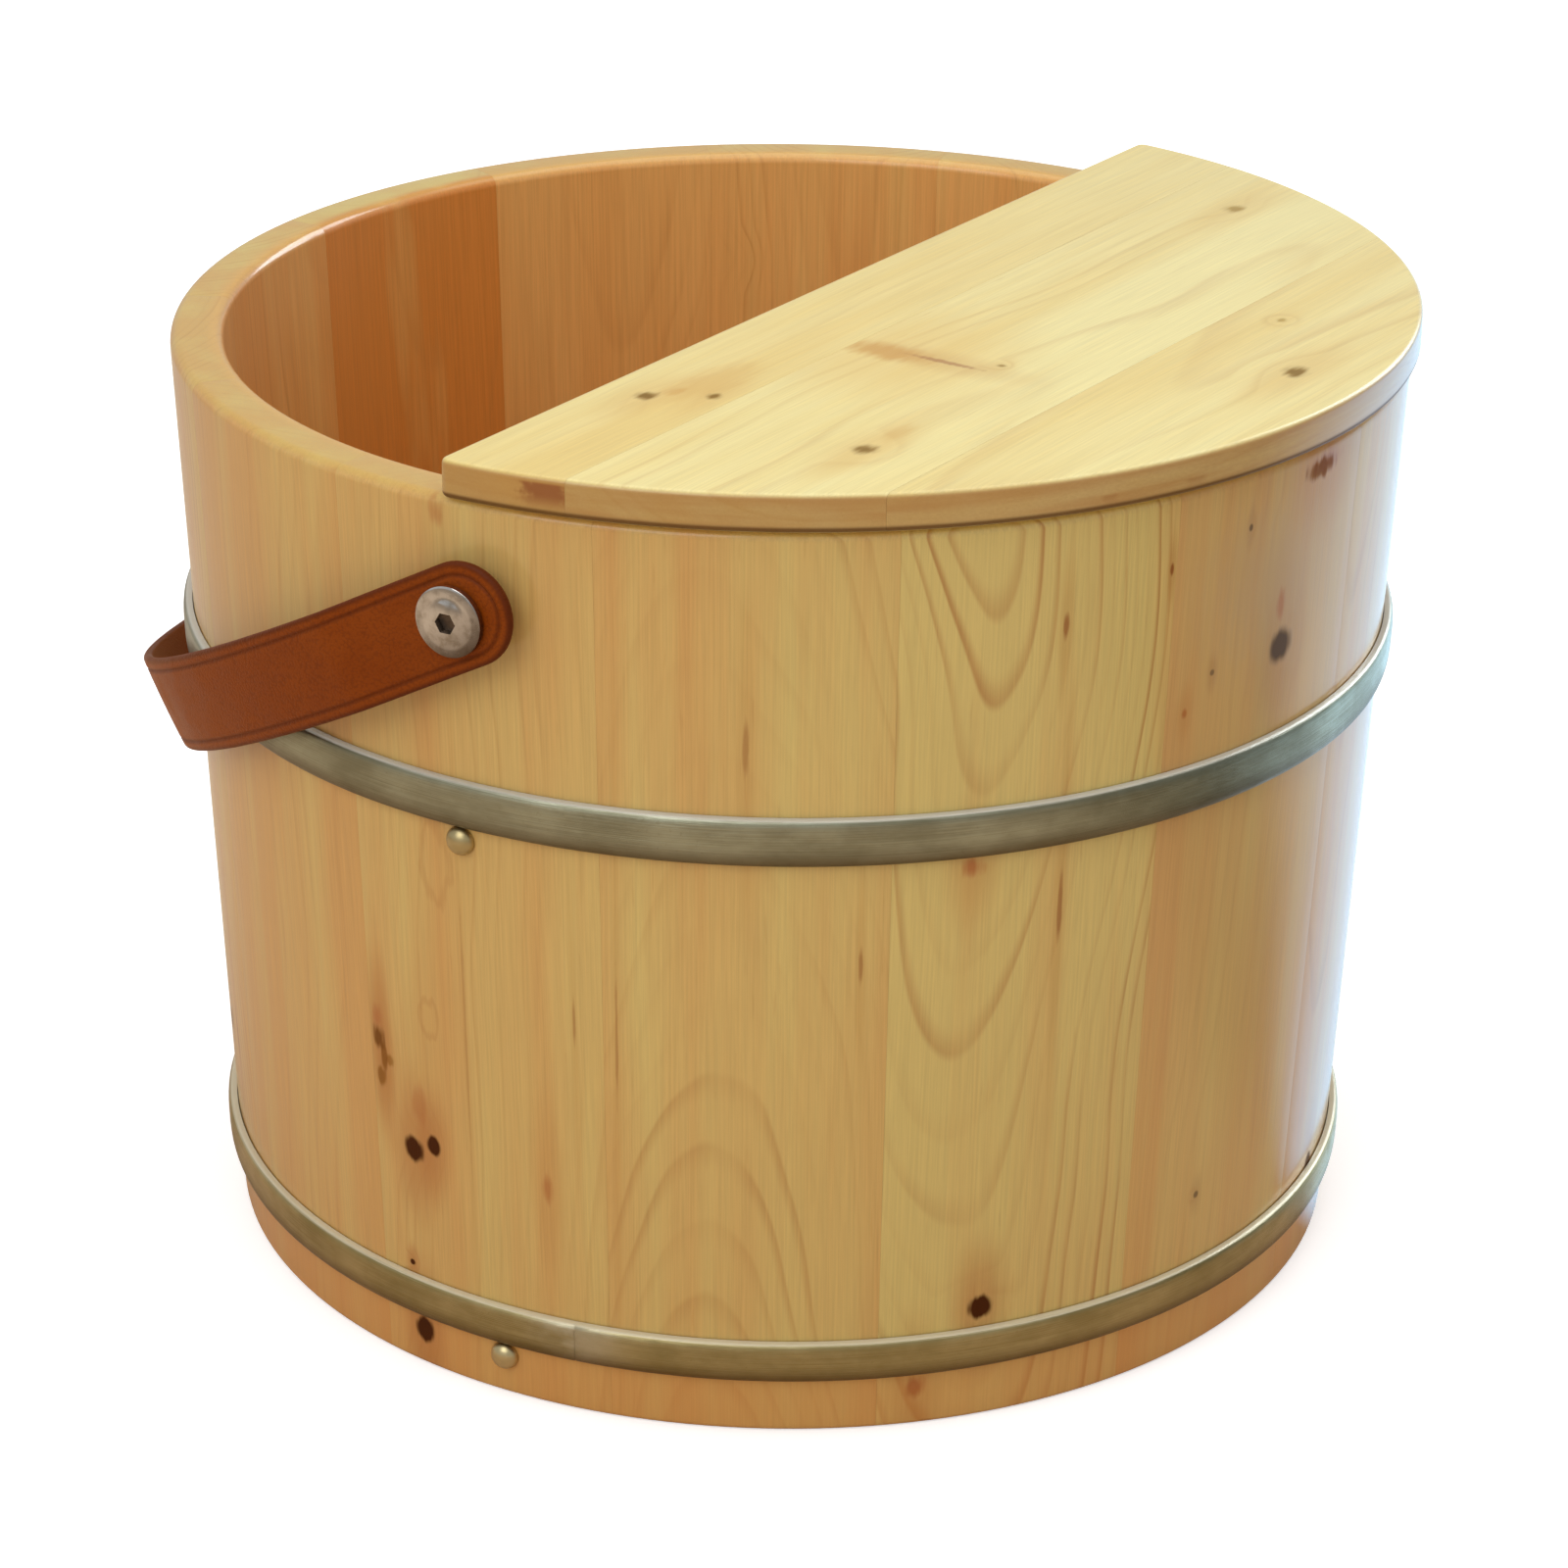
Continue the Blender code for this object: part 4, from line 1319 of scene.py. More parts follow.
STAVE_TIMBER = {
    1: Timber(
        seed=1,
        pith_across=0.058,
        pith_depth=0.04,
        lean=0.03,
        pitch=0.0034,
        contrast=0.28,
        warmth=0.72,
        marks=(
            Mark(MarkKind.RED_STAIN, -0.0399, 0.122, 0.0026, 2.4, 0.6),
            Mark(MarkKind.BARK, -0.0397, 0.1155, 0.0030, 1.8, 0.75),
            Mark(MarkKind.BARK, -0.0380, 0.1095, 0.0018, 3.6, 0.55),
            Mark(MarkKind.BARK, -0.0396, 0.1015, 0.0026, 1.6, 0.5),
            Mark(MarkKind.BARK, -0.0350, 0.1085, 0.0020, 1.3, 0.4),
            Mark(MarkKind.DEAD_KNOT, -0.0267, 0.0797, 0.0043, 1.2),
            Mark(MarkKind.DEAD_KNOT, -0.0186, 0.0835, 0.0032, 1.25),
            Mark(MarkKind.RED_STAIN, -0.0235, 0.097, 0.0040, 2.4, 0.4),
            Mark(MarkKind.LOOP, -0.0182, 0.1290, 0.0042, 1.9, 0.25),
            Mark(MarkKind.LOOP, -0.0125, 0.1850, 0.0064, 2.5, 0.25),
            Mark(MarkKind.RESIN, -0.0040, 0.126, 0.0006, 100, 0.28),
            Mark(MarkKind.DEAD_KNOT, -0.0300, 0.037, 0.0013, 1.0),
            Mark(MarkKind.DEAD_KNOT, -0.0262, 0.013, 0.0040, 1.35),
            Mark(MarkKind.RED_STAIN, 0.0231, 0.080, 0.0023, 2.8, 0.6),
            Mark(MarkKind.RESIN, 0.0340, 0.140, 0.0007, 15, 0.5),
            Mark(MarkKind.RED_STAIN, -0.0059, 0.300, 0.0030, 2.2, 0.5),
        ),
    ),
    2: Timber(
        seed=38.06,
        pith_across=-0.0115,
        pith_depth=0.0482,
        lean=0.12,
        pitch=0.0032,
        waver=0.9,
        contrast=0.37,
        warmth=0.62,
        marks=(
            Mark(MarkKind.RESIN, -0.0390, 0.135, 0.0006, 46, 0.45),
            Mark(MarkKind.RESIN, 0.0350, 0.165, 0.0008, 9, 0.6),
            Mark(MarkKind.RESIN, 0.0003, 0.237, 0.0013, 8, 0.5),
        ),
    ),
    3: Timber(
        seed=15.14,
        pith_across=-0.0178,
        pith_depth=0.0584,
        lean=-0.12,
        pitch=0.0036,
        waver=1.2,
        contrast=0.75,
        warmth=0.12,
        drift=8.0,
        marks=(
            Mark(MarkKind.DEAD_KNOT, -0.0096, 0.0405, 0.0044, 1.05),
            Mark(MarkKind.RED_STAIN, -0.0190, 0.196, 0.0040, 1.1, 0.8),
            Mark(MarkKind.RED_STAIN, -0.0300, 0.014, 0.0040, 1.3, 0.8),
            Mark(MarkKind.RESIN, 0.0100, 0.178, 0.0010, 14, 0.7),
            Mark(MarkKind.RESIN, 0.0069, 0.2706, 0.0012, 4.0, 0.8),
            Mark(MarkKind.RESIN, 0.0429, 0.282, 0.0008, 3.0),
        ),
    ),
    4: Timber(
        seed=4,
        pith_across=0.03,
        pith_depth=0.07,
        lean=0.02,
        pitch=0.0030,
        contrast=0.18,
        warmth=0.5,
        marks=(
            Mark(MarkKind.GREY_STAIN, 0.0000, 0.268, 0.0420, 0.9, 0.55),
            Mark(MarkKind.GREY_KNOT, 0.0050, 0.244, 0.0064, 1.05),
            Mark(MarkKind.RED_STAIN, 0.0035, 0.258, 0.0026, 2.6, 0.6),
            Mark(MarkKind.GREY_KNOT, -0.0148, 0.288, 0.0010, 1.4, 0.8),
            Mark(MarkKind.GREY_KNOT, -0.0266, 0.244, 0.0011, 1.2, 0.7),
            Mark(MarkKind.RED_STAIN, -0.0367, 0.233, 0.0014, 1.4, 0.7),
            Mark(MarkKind.RED_STAIN, 0.0215, 0.299, 0.0110, 0.45, 0.7),
            Mark(MarkKind.BARK, 0.0195, 0.2980, 0.0095, 0.42, 0.6),
            Mark(MarkKind.GREY_KNOT, -0.0124, 0.058, 0.0013, 1.2, 0.7),
        ),
    ),
    14: Timber(
        seed=14, pith_across=0.05, pith_depth=0.05, lean=0.04, pitch=0.0034, contrast=0.2, warmth=0.9
    ),
}


@dataclass
class TubBottom:
    """The boards of the bottom, which show inside the tub and under it.

    Attributes:
        boards: Number of boards.
        heart_step: How much farther from each board's middle the log's heart lies than in the last one.
    """

    boards: int = 3
    heart_step: float = 0.012

    def build(self) -> None:
        """Dresses the boards and their dowels."""
        for number in range(1, self.boards + 1):
            name = f"floor_board_{number}"
            timber = Timber(
                seed=20 + number,
                pith_across=middle_of(name).y + self.heart_step * number,
                pith_depth=0.03,
                lean=0.04,
                pitch=0.0036,
                warmth=0.55,
            )
            dress([name], FLOOR_WOOD.material(name, timber, (1, 0, 0), grain_along_x))
        dowels = [f"floor_dowel_{seam}{end}" for seam in range(1, self.boards) for end in "ab"]
        dress(dowels, DOWEL_BAMBOO.material())


@dataclass
class Hoops:
    """The two hoops and the nails under them.

    Attributes:
        wall: The wall that they bind.
        thickness: A hoop's thickness at the crown.
        squareness: Below 1, its shoulders are squarer than a half ellipse.
        facets: Stretches round a hoop.
        crown_steps: Stretches across a hoop.
        upper_joint: Angle where the upper hoop's ends meet.
        lower_joint: Angle where the lower hoop's ends meet.
        joint_depth: Depth of the line there.
        joint_width: Width of that line.
        nail_radius: Radius of a nail's head.
        nail_height: Height of a nail's head.
        shank: Radius of a nail.
        nail_length: Length of a nail below its head.
        dome_steps: Stretches from the crown of a nail's head to its edge.
        nail_facets: Facets round a nail.
    """

    wall: TubWall
    thickness: float = 0.0032
    squareness: float = 0.5
    facets: int = 224
    crown_steps: int = 28
    upper_joint: float = 20.0
    lower_joint: float = 188.2
    joint_depth: float = 0.0003
    joint_width: float = 0.0005
    nail_radius: float = 0.00475
    nail_height: float = 0.0038
    shank: float = 0.0015
    nail_length: float = 0.012
    dome_steps: int = 10
    nail_facets: int = 32

    def section(self, level: float, breadth: float, sunk: float) -> Section:
        """A hoop's section.

        Args:
            level: Level of its middle.
            breadth: Its breadth.
            sunk: How far its crown is set back.

        Returns:
            Points of radius and level, from its upper edge over its crown, with its flat back open.
        """
        points = []
        for bulge, rise in arc((0, 0), 1, 90, -90, self.crown_steps):
            lift = math.copysign(abs(rise) ** self.squareness, rise) * breadth / 2
            depth = max(max(bulge, 0) ** self.squareness * self.thickness - sunk, 0)
            points.append((self.wall.outer(level + lift) + GAP + depth, level + lift))
        return points

    def hoop_mesh(self, node: str, joint: float) -> bpy.types.Mesh:
        """One hoop with the line where its ends meet.

        Args:
            node: The hoop's CAD node.
            joint: Angle of its joint.

        Returns:
            The mesh.
        """
        low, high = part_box(node)
        level, breadth = (low.z + high.z) / 2, high.z - low.z
        radius = self.wall.outer(level) + self.thickness
        line = math.degrees(self.joint_width / radius)
        turns = [line + (360 - 2 * line) * step / self.facets for step in range(self.facets + 1)]
        section = self.section(level, breadth, 0.0)
        rows = [[polar(out, joint + turned, up) for out, up in section] for turned in turns]
        rows.append([polar(out, joint, up) for out, up in self.section(level, breadth, self.joint_depth)])
        mesh = finished(loft(rows, ring=True), sharp=60)
        bands = []
        for vertex in mesh.vertices:
            turned = (math.degrees(math.atan2(vertex.co.y, vertex.co.x)) - joint) % 360
            runs = [math.radians(angle) * radius for angle in (turned, min(turned, 360 - turned))]
            bands.append((runs[0], (vertex.co.z - level) / breadth * 2, runs[1]))
        carry(mesh, BAND, bands)
        return mesh

    def nail_mesh(self, node: str, side: Side) -> bpy.types.Mesh:
        """One dome-head nail where its CAD node is.

        Args:
            node: The CAD node.
            side: The side of the tub that it is on.

        Returns:
            The mesh.
        """
        quarter = arc((0, 0), 1, 90, 0, self.dome_steps)
        dome = [(self.nail_radius * out, self.nail_height * up) for out, up in quarter]
        dome[0] = (0.0, self.nail_height)
        tip = -self.nail_length
        section = [*dome, (self.shank, 0.0), (self.shank, tip + 2 * self.shank), (0.0, tip)]
        low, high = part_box(node)
        level = high.z - self.nail_radius
        crown = low.x if side is Side.NEAR else high.x
        angle = math.degrees(math.atan2((low.y + high.y) / 2, crown))
        slope = (self.wall.rim_radius - self.wall.foot_radius) / (self.wall.rim - self.wall.foot)
        outward = polar(1, angle, -slope).normalized()
        mesh = finished(lathe(section, self.nail_facets), sharp=50)
        mesh.transform(facing(polar(self.wall.outer(level), angle, level) + outward * GAP, outward))
        return mesh

    def build(self) -> None:
        """Builds and dresses the hoops and nails."""
        hoops = (("upper", UPPER_METAL, self.upper_joint), ("lower", LOWER_METAL, self.lower_joint))
        for place, metal, joint in hoops:
            node = f"{place}_hoop"
            show(f"{place}_band", self.hoop_mesh(node, joint), metal.material(), "tub", node)
            for side in Side:
                name, node = f"{place}_dome_nail_{side.label}", f"{place}_nail_{side.label}"
                show(name, self.nail_mesh(node, side), NAIL_METAL.material(), "tub", node)


@dataclass
class HalfLid:
    """The loose half lid: three boards on two battens.

    Attributes:
        radius: Radius of its round edge.
        shortfall: Distance of its straight edge from the tub's axis.
        edge_round: Radius of its rounded edges.
        corner: Radius of its two corners.
        turned: How far round it lies on the rim.
        widths: Widths of its first two boards, from the straight edge.
        seam_gap: Gap between two boards.
        facets: Stretches of its round edge.
        corner_steps: Stretches of a corner.
        round_steps: Stretches of a rounded edge.
        block: Length and height of the block that cuts a board out.
        screws: Number of screws in a batten.
        seat: Level of its underside.
        top: Level of its upper face.
    """

    radius: float = 0.2025
    shortfall: float = 0.0125
    edge_round: float = 0.0018
    corner: float = 0.0035
    turned: float = -5.9
    widths: tuple[float, float] = (0.041, 0.081)
    seam_gap: float = 0.00006
    facets: int = 150
    corner_steps: int = 10
    round_steps: int = 5
    block: tuple[float, float] = (0.5, 0.1)
    screws: int = 3
    seat: float = field(default_factory=lambda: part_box("lid_board_1")[0].z)
    top: float = field(default_factory=lambda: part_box("lid_board_1")[1].z)

    @property
    def placed(self) -> Matrix:
        """Where the lid's own frame lies: its straight edge along X and its underside at 0."""
        return Matrix.Translation((0, 0, self.seat)) @ Matrix.Rotation(math.radians(self.turned), 4, "Z")

    def whole_mesh(self) -> bpy.types.Mesh:
        """The whole lid with rounded edges, in its own frame.

        Returns:
            The mesh.
        """
        reach, along = self.radius - self.corner, -self.shortfall - self.corner
        across = math.sqrt(reach**2 - along**2)
        cut = math.degrees(math.asin(-along / reach))
        outline = arc((0, 0), self.radius, 180 + cut, 360 - cut, self.facets)
        outline += arc((across, along), self.corner, -cut, 90, self.corner_steps)[1:]
        outline += arc((-across, along), self.corner, 90, 180 + cut, self.corner_steps)[:-1]
        shape = bmesh.new()
        underside = shape.faces.new(shape.verts.new((x, y, 0)) for x, y in outline)
        raised = bmesh.ops.extrude_face_region(shape, geom=[underside])["geom"]
        lifted = [item for item in raised if isinstance(item, bmesh.types.BMVert)]
        bmesh.ops.translate(shape, vec=(0, 0, self.top - self.seat), verts=lifted)
        rims = [edge for edge in shape.edges if edge.verts[0].co.z == edge.verts[1].co.z]
        rounding = {"offset": self.edge_round, "segments": self.round_steps, "profile": 0.5}
        bmesh.ops.bevel(shape, geom=rims, affect="EDGES", **rounding)
        return finished(shape)

    def board_mesh(self, low: float, high: float) -> bpy.types.Mesh:
        """One board of the lid, cut out between two lines along its straight edge.

        Args:
            low: Place of the line farther from the straight edge.
            high: Place of the other line.

        Returns:
            The mesh, where it lies on the rim.
        """
        length, height = self.block
        keep = bmesh.new()
        bmesh.ops.create_cube(keep, size=1.0)
        bmesh.ops.scale(keep, vec=(length, high - low, height), verts=keep.verts)
        bmesh.ops.translate(keep, vec=(0, (low + high) / 2, 0), verts=keep.verts)
        mesh = carve(self.whole_mesh(), [finished(keep)], Cut.KEEP)
        middle = (max(low, -self.radius) + min(high, -self.shortfall)) / 2
        thickness = self.top - self.seat
        points = [vertex.co for vertex in mesh.vertices]
        carry(mesh, GRAIN, [(point.y - middle, thickness - point.z, point.x) for point in points])
        mesh.transform(self.placed)
        return mesh

    def build(self) -> None:
        """Builds and dresses the boards, and dresses the battens and screws under them."""
        first = -self.shortfall - self.widths[0]
        second = first - self.widths[1]
        half = self.seam_gap / 2
        strips = ((first + half, PAST), (second + half, first - half), (-self.radius - PAST, second - half))
        axis = self.placed.to_3x3() @ Vector((1, 0, 0))
        for number, (low, high) in enumerate(strips, start=1):
            name = f"lid_plank_{number}"
            material = LID_WOOD.material(name, LID_TIMBER[number], axis, carried_grain)
            show(name, self.board_mesh(low, high), material, "lid", f"lid_board_{number}")
        for seed, side in enumerate(Side, start=31):
            timber = Timber(seed, pith_across=0.02, pith_depth=0.05, lean=0.03, pitch=0.0032, contrast=0.4)
            name = f"lid_batten_{side.label}"
            dress([name], FLOOR_WOOD.material(name, timber, (0, 1, 0), grain_along_y))
            screws = [f"batten_screw_{side.label}_{number}" for number in range(1, self.screws + 1)]
            dress(screws, FIXING_ZINC.material())


LID_TIMBER = {
    1: Timber(
        seed=11,
        pith_across=0.05,
        pith_depth=0.05,
        lean=0.02,
        pitch=0.0040,
        contrast=0.26,
        warmth=0.6,
        marks=(
            Mark(MarkKind.RESIN, -0.0150, -0.1966, 0.0098, 1.2, 1.0, 0.0025),
            Mark(MarkKind.AMBER, -0.0060, -0.1000, 0.0105, 2.6, 0.35),
            Mark(MarkKind.AMBER, -0.0020, -0.1140, 0.0030, 1.8, 0.5),
            Mark(MarkKind.PALE_KNOT, 0.0032, -0.1225, 0.0042, 1.15, 0.85),
            Mark(MarkKind.PALE_KNOT, -0.0138, -0.1112, 0.0028, 1.4, 0.8),
        ),
    ),
    2: Timber(
        seed=12,
        pith_across=-0.03,
        pith_depth=0.06,
        lean=0.03,
        pitch=0.0046,
        contrast=0.22,
        warmth=0.3,
        marks=(
            Mark(MarkKind.PALE_KNOT, -0.0154, -0.1240, 0.0045, 1.2, 0.8),
            Mark(MarkKind.AMBER, -0.0155, -0.1060, 0.0040, 2.6, 0.35),
            Mark(MarkKind.PALE_KNOT, 0.0142, 0.1500, 0.0043, 1.3, 0.55),
            Mark(MarkKind.AMBER, 0.0275, -0.0455, 0.0190, 0.46, 0.8),
            Mark(MarkKind.RESIN, 0.0080, -0.0435, 0.0150, 0.12, 0.6),
            Mark(MarkKind.PALE_KNOT, -0.0080, -0.0364, 0.0018, 1.0, 0.6),
        ),
    ),
    3: Timber(
        seed=13,
        pith_across=0.02,
        pith_depth=0.07,
        lean=-0.03,
        pitch=0.0044,
        contrast=0.26,
        warmth=0.6,
        marks=(
            Mark(MarkKind.RESIN, -0.0086, -0.0982, 0.0026, 1.4, 0.6, 0.0078),
            Mark(MarkKind.RESIN, -0.0214, -0.0705, 0.0026, 2.2, 0.6, 0.0078),
            Mark(MarkKind.PALE_KNOT, -0.0094, 0.0110, 0.0050, 1.3, 0.8),
            Mark(MarkKind.PALE_KNOT, 0.0182, 0.0533, 0.0020, 1.2, 0.45),
        ),
    ),
}


@dataclass(frozen=True)
class Station:
    """A place along the strap's middle.

    Attributes:
        across: Its place along the screws' axis.
        out: Its distance from that axis.
        outward: Direction of the grain side there, across and out.
    """

    across: float
    out: float
    outward: tuple[float, float]


@dataclass
class BailStrap:
    """The leather strap that bends round the tub from screw to screw.

    Attributes:
        leather: Its finish.
        width: Its width.
        thickness: Its thickness.
        inner: Distance of its inner face from the tub's axis at the screws.
        end: How far it runs past a screw.
        leg: Straight length from a screw to the bend.
        reach: How far its middle reaches out at the bend.
        hang: Degrees that it hangs below level at rest.
        dome: Height of the crown across its face.
        edge_round: How far in from the edge its burnished round reaches.
        crease_depth: Depth of the lines pressed along its edges.
        crease_half: Half the width of these lines.
        crease_shape: Below 1, these lines have steeper sides.
        bend_steps: Stretches round the bend.
        leg_steps: Stretches along a leg.
        end_steps: Stretches round a rounded end.
        edge_steps: Stretches round half of an edge.
    """

    leather: Leather = STRAP_LEATHER
    width: float = 0.0325
    thickness: float = 0.0035
    inner: float = 0.2053
    end: float = 0.020
    leg: float = 0.046
    reach: float = 0.23106
    hang: float = 28.58
    dome: float = 0.0003
    edge_round: float = 0.0013
    crease_depth: float = 0.0005
    crease_half: float = 0.0007
    crease_shape: float = 0.7
    bend_steps: int = 150
    leg_steps: int = 14
    end_steps: int = 28
    edge_steps: int = 6

    def half_section(self) -> Section:
        """Half of the strap's section.

        Returns:
            Points of inset from the edge and height above mid thickness, from the middle of the grain side
            round the edge to the middle of the flesh side.
        """
        crease = self.leather.crease
        half, middle = self.thickness / 2, self.width / 2
        flat = half - self.dome
        # Places across the grain side, closer together at the crease
        insets = [middle, 0.75 * middle, 0.5 * middle, 0.3 * middle + 0.0008]
        insets += [crease + self.crease_half * share for share in (1, 3 / 7, 0, -3 / 7, -1)]
        insets.append((crease + self.edge_round) / 2 - 0.0002)
        grain_side = []
        for inset in insets:
            crown = self.dome * (1 - (1 - inset / middle) ** 2)
            sunk = max(0.0, 1 - abs(inset - crease) / self.crease_half) ** self.crease_shape
            grain_side.append((inset, flat + crown - self.crease_depth * sunk))
        quarter = arc((0, 0), 1, 0, 90, self.edge_steps)
        rounded = [(self.edge_round * (1 - out), flat * up) for up, out in quarter]
        lower = [(inset, -half * height / flat) for inset, height in reversed(rounded[:-1])]
        return [*grain_side, *rounded, *lower, (0.3 * middle, -half), (middle, -half)]

    def stations(self) -> list[Station]:
        """Places along the strap's middle, from one end's round to the other's.

        Returns:
            The places in order.
        """
        span = self.inner + self.thickness / 2
        turned = math.asin(self.leg / self.reach)
        bulge = span / math.cos(turned)
        start = self.width / 2 - self.end
        runs = [start + (self.leg - start) * step / self.leg_steps for step in range(self.leg_steps)]
        path = [Station(span, out, (1.0, 0.0)) for out in runs]
        for step in range(self.bend_steps + 1):
            angle = turned + (math.pi - 2 * turned) * step / self.bend_steps
            outward = Vector((math.cos(angle) / bulge, math.sin(angle) / self.reach)).normalized()
            path.append(Station(bulge * math.cos(angle), self.reach * math.sin(angle), tuple(outward)))
        return path + [Station(-span, out, (-1.0, 0.0)) for out in reversed(runs)]

    def mesh(self) -> bpy.types.Mesh:
        """The strap with its creases, rounded edges and ends, in its own frame.

        Returns:
            The mesh, whose own frame has the screws' axis along X and the strap's width along Z.
        """
        section = self.half_section()
        stations = self.stations()
        middle = self.width / 2
        steps = [math.hypot(b.across - a.across, b.out - a.out) for a, b in zip(stations, stations[1:])]
        runs = list(accumulate(steps, initial=0.0))
        shape = bmesh.new()
        hides: list[tuple[float, float, float]] = []

        def vertex(index: int, inset: float, height: float, angle: float) -> bmesh.types.BMVert:
            """Adds a point of the strap beside a station.

            Args:
                index: The station's number.
                inset: How far in from the edge the point lies.
                height: Its height above mid thickness.
                angle: Turn of the line from the strap's middle to it, from the strap's own direction.

            Returns:
                The new point.
            """
            station = stations[index]
            back = (middle - inset) * math.cos(math.radians(angle))
            side = (middle - inset) * math.sin(math.radians(angle))
            hides.append((runs[index] - back, side, inset if height >= 0 else -inset))
            x = station.across + station.outward[0] * height
            return shape.verts.new((x, station.out - back + station.outward[1] * height, side))

        ends = (section[0], section[-1])
        spines = [[vertex(index, *end, 90) for end in ends] for index in range(len(stations))]

        def half_row(index: int, angle: float) -> list[bmesh.types.BMVert]:
            """Adds half a section's points, turned by an angle, between a station's two middle points."""
            grain_side, flesh_side = spines[index]
            return [grain_side, *(vertex(index, *point, angle) for point in section[1:-1]), flesh_side]

        last = len(stations) - 1
        turns = [180 * step / self.end_steps for step in range(1, self.end_steps)]
        rows = [half_row(index, 90) for index in range(last + 1)]
        rows += [half_row(last, 90 - turn) for turn in turns]
        rows += [half_row(index, -90) for index in range(last, -1, -1)]
        rows += [half_row(0, -90 + turn) for turn in turns]
        for row, following in zip(rows, [*rows[1:], rows[0]]):
            for index in range(len(section) - 1):
                corners = (row[index], row[index + 1], following[index + 1], following[index])
                shape.faces.new(dict.fromkeys(corners))
        mesh = finished(shape, sharp=60)
        carry(mesh, HIDE, hides)
        return mesh

    def build(self) -> None:
        """Builds and dresses the strap."""
        mesh = self.mesh()
        pivot = Vector((0, 0, middle_of("handle_screw_near").z))
        mesh.transform(Matrix.Translation(pivot) @ Matrix.Rotation(-math.radians(self.hang), 4, "X"))
        show("bail_strap", mesh, self.leather.material(), "handle", "leather_strap")


@dataclass
class Pivots:
    """The screws that the strap turns on, with their spacers and inserts.

    Attributes:
        head_radius: Radius of a screw's head.
        bevel_width: Width of the slope round the head's face.
        bevel_drop: How far that slope's lower edge lies below the middle of the face.
        crown: How far the head's face rises to its middle.
        head_ease: Size of the cut at the lower edge of the head.
        shank: Radius of a screw.
        tip: Size of the cut round its tip.
        socket_width: Width of the hexagon socket across its flats.
        socket_depth: Depth of the socket.
        socket_cone: How much deeper its middle is.
        spacer_bore: Radius of a spacer's bore.
        spacer_ease: Radius of its eased edges.
        ease_steps: Stretches of such an edge.
        facets: Facets of the turned pieces.
        socket_darkness: How much darker and duller the socket is.
        face_grime: Share of soiling on the head's face.
        slope_shade: Painted shade added on the slope.
        lower_right_shade: How much more painted shade there is at the lower right than in the middle.
    """

    head_radius: float = 0.011
    bevel_width: float = 0.0034
    bevel_drop: float = 0.0016
    crown: float = 0.0011
    head_ease: float = 0.0003
    shank: float = 0.0038
    tip: float = 0.001
    socket_width: float = 0.006
    socket_depth: float = 0.0026
    socket_cone: float = 0.0006
    spacer_bore: float = 0.0041
    spacer_ease: float = 0.0006
    ease_steps: int = 4
    facets: int = 64
    socket_darkness: float = 0.9
    face_grime: float = 0.16
    slope_shade: float = 0.25
    lower_right_shade: float = 0.5

    def screw_mesh(self, height: float, length: float) -> bpy.types.Mesh:
        """A screw along Z with the underside of its head at 0.

        Args:
            height: Height of its head.
            length: Length below its head.

        Returns:
            The mesh.
        """
        flat = self.head_radius - self.bevel_width
        shoulder = height - self.crown
        fall = self.crown - self.bevel_drop
        # Shares of the face's radius, and shares of the slope's width and fall from its upper edge
        face = (0, 0.3, 0.5, 0.7, 0.85, 0.95)
        slope = ((0.12, 0.02), (0.35, 0.17), (0.6, 0.42), (0.82, 0.7), (0.94, 0.88), (1.0, 1.12))
        section = [(flat * share, shoulder + self.crown * (1 - share**2)) for share in face]
        section += [(flat + self.bevel_width * out, shoulder + fall * down) for out, down in slope]
        section += [(self.head_radius, self.head_ease), (self.head_radius - self.head_ease, 0.0)]
        section += [(self.shank, 0.0), (self.shank, -length + self.tip)]
        section += [(self.shank - self.tip, -length), (0.0, -length)]
        corner = self.socket_width / math.sqrt(3)
        floor = height - self.socket_depth
        above = height + PAST
        hexagon = [(0.0, above), (corner, above), (corner, floor), (0.0, floor - self.socket_cone)]
        socket = finished(lathe(hexagon, 6))
        mesh = carve(finished(lathe(section, self.facets)), [socket], Cut.AWAY)
        carry(mesh, GRIME_AND_SHADE, [(self.grime_and_shade_at(vertex.co, height), 0.0, 0.0) for vertex in mesh.vertices])
        return mesh

    def grime_and_shade_at(self, point: Vector, height: float) -> float:
        """Darkness in a screw's socket, soiling on its face, and painted shade towards the lower right and
        on the slope round the face.

        Args:
            point: A point of the screw in its own frame.
            height: Height of its head.

        Returns:
            The share of soiling and painted shade there.
        """
        flat = self.head_radius - self.bevel_width
        out = math.hypot(point.x, point.y)
        if out < flat * 0.6 and point.z < height - self.socket_depth / 2:
            return self.socket_darkness
        # Painted shade: darker towards the lower right and on the slope round the face.
        to_lower_right = (0.6 * point.x - 0.8 * point.y) / self.head_radius
        on_slope = self.slope_shade if out > flat * 1.1 else 0.0
        return max(self.face_grime + self.lower_right_shade * to_lower_right + on_slope, 0.0)

    def spacer_mesh(self, low: Vector, high: Vector) -> bpy.types.Mesh:
        """A spacer washer along Z between its faces, with eased edges.

        Args:
            low: Lowest corner of its CAD node.
            high: Highest corner of its CAD node.

        Returns:
            The mesh, in its own frame, with its middle at the origin.
        """
        half, radius, ease = (high.x - low.x) / 2, (high.z - low.z) / 2, self.spacer_ease
        section = arc((radius - ease, half - ease), ease, 90, 0, self.ease_steps)
        section += arc((radius - ease, ease - half), ease, 0, -90, self.ease_steps)
        section += [(self.spacer_bore, -half), (self.spacer_bore, half)]
        mesh = finished(lathe(section, self.facets), sharp=50)
        inset = 0.5  # so far in that no crease or dark edge shows
        carry(mesh, HIDE, [(vertex.co.x, vertex.co.y, inset) for vertex in mesh.vertices])
        return mesh

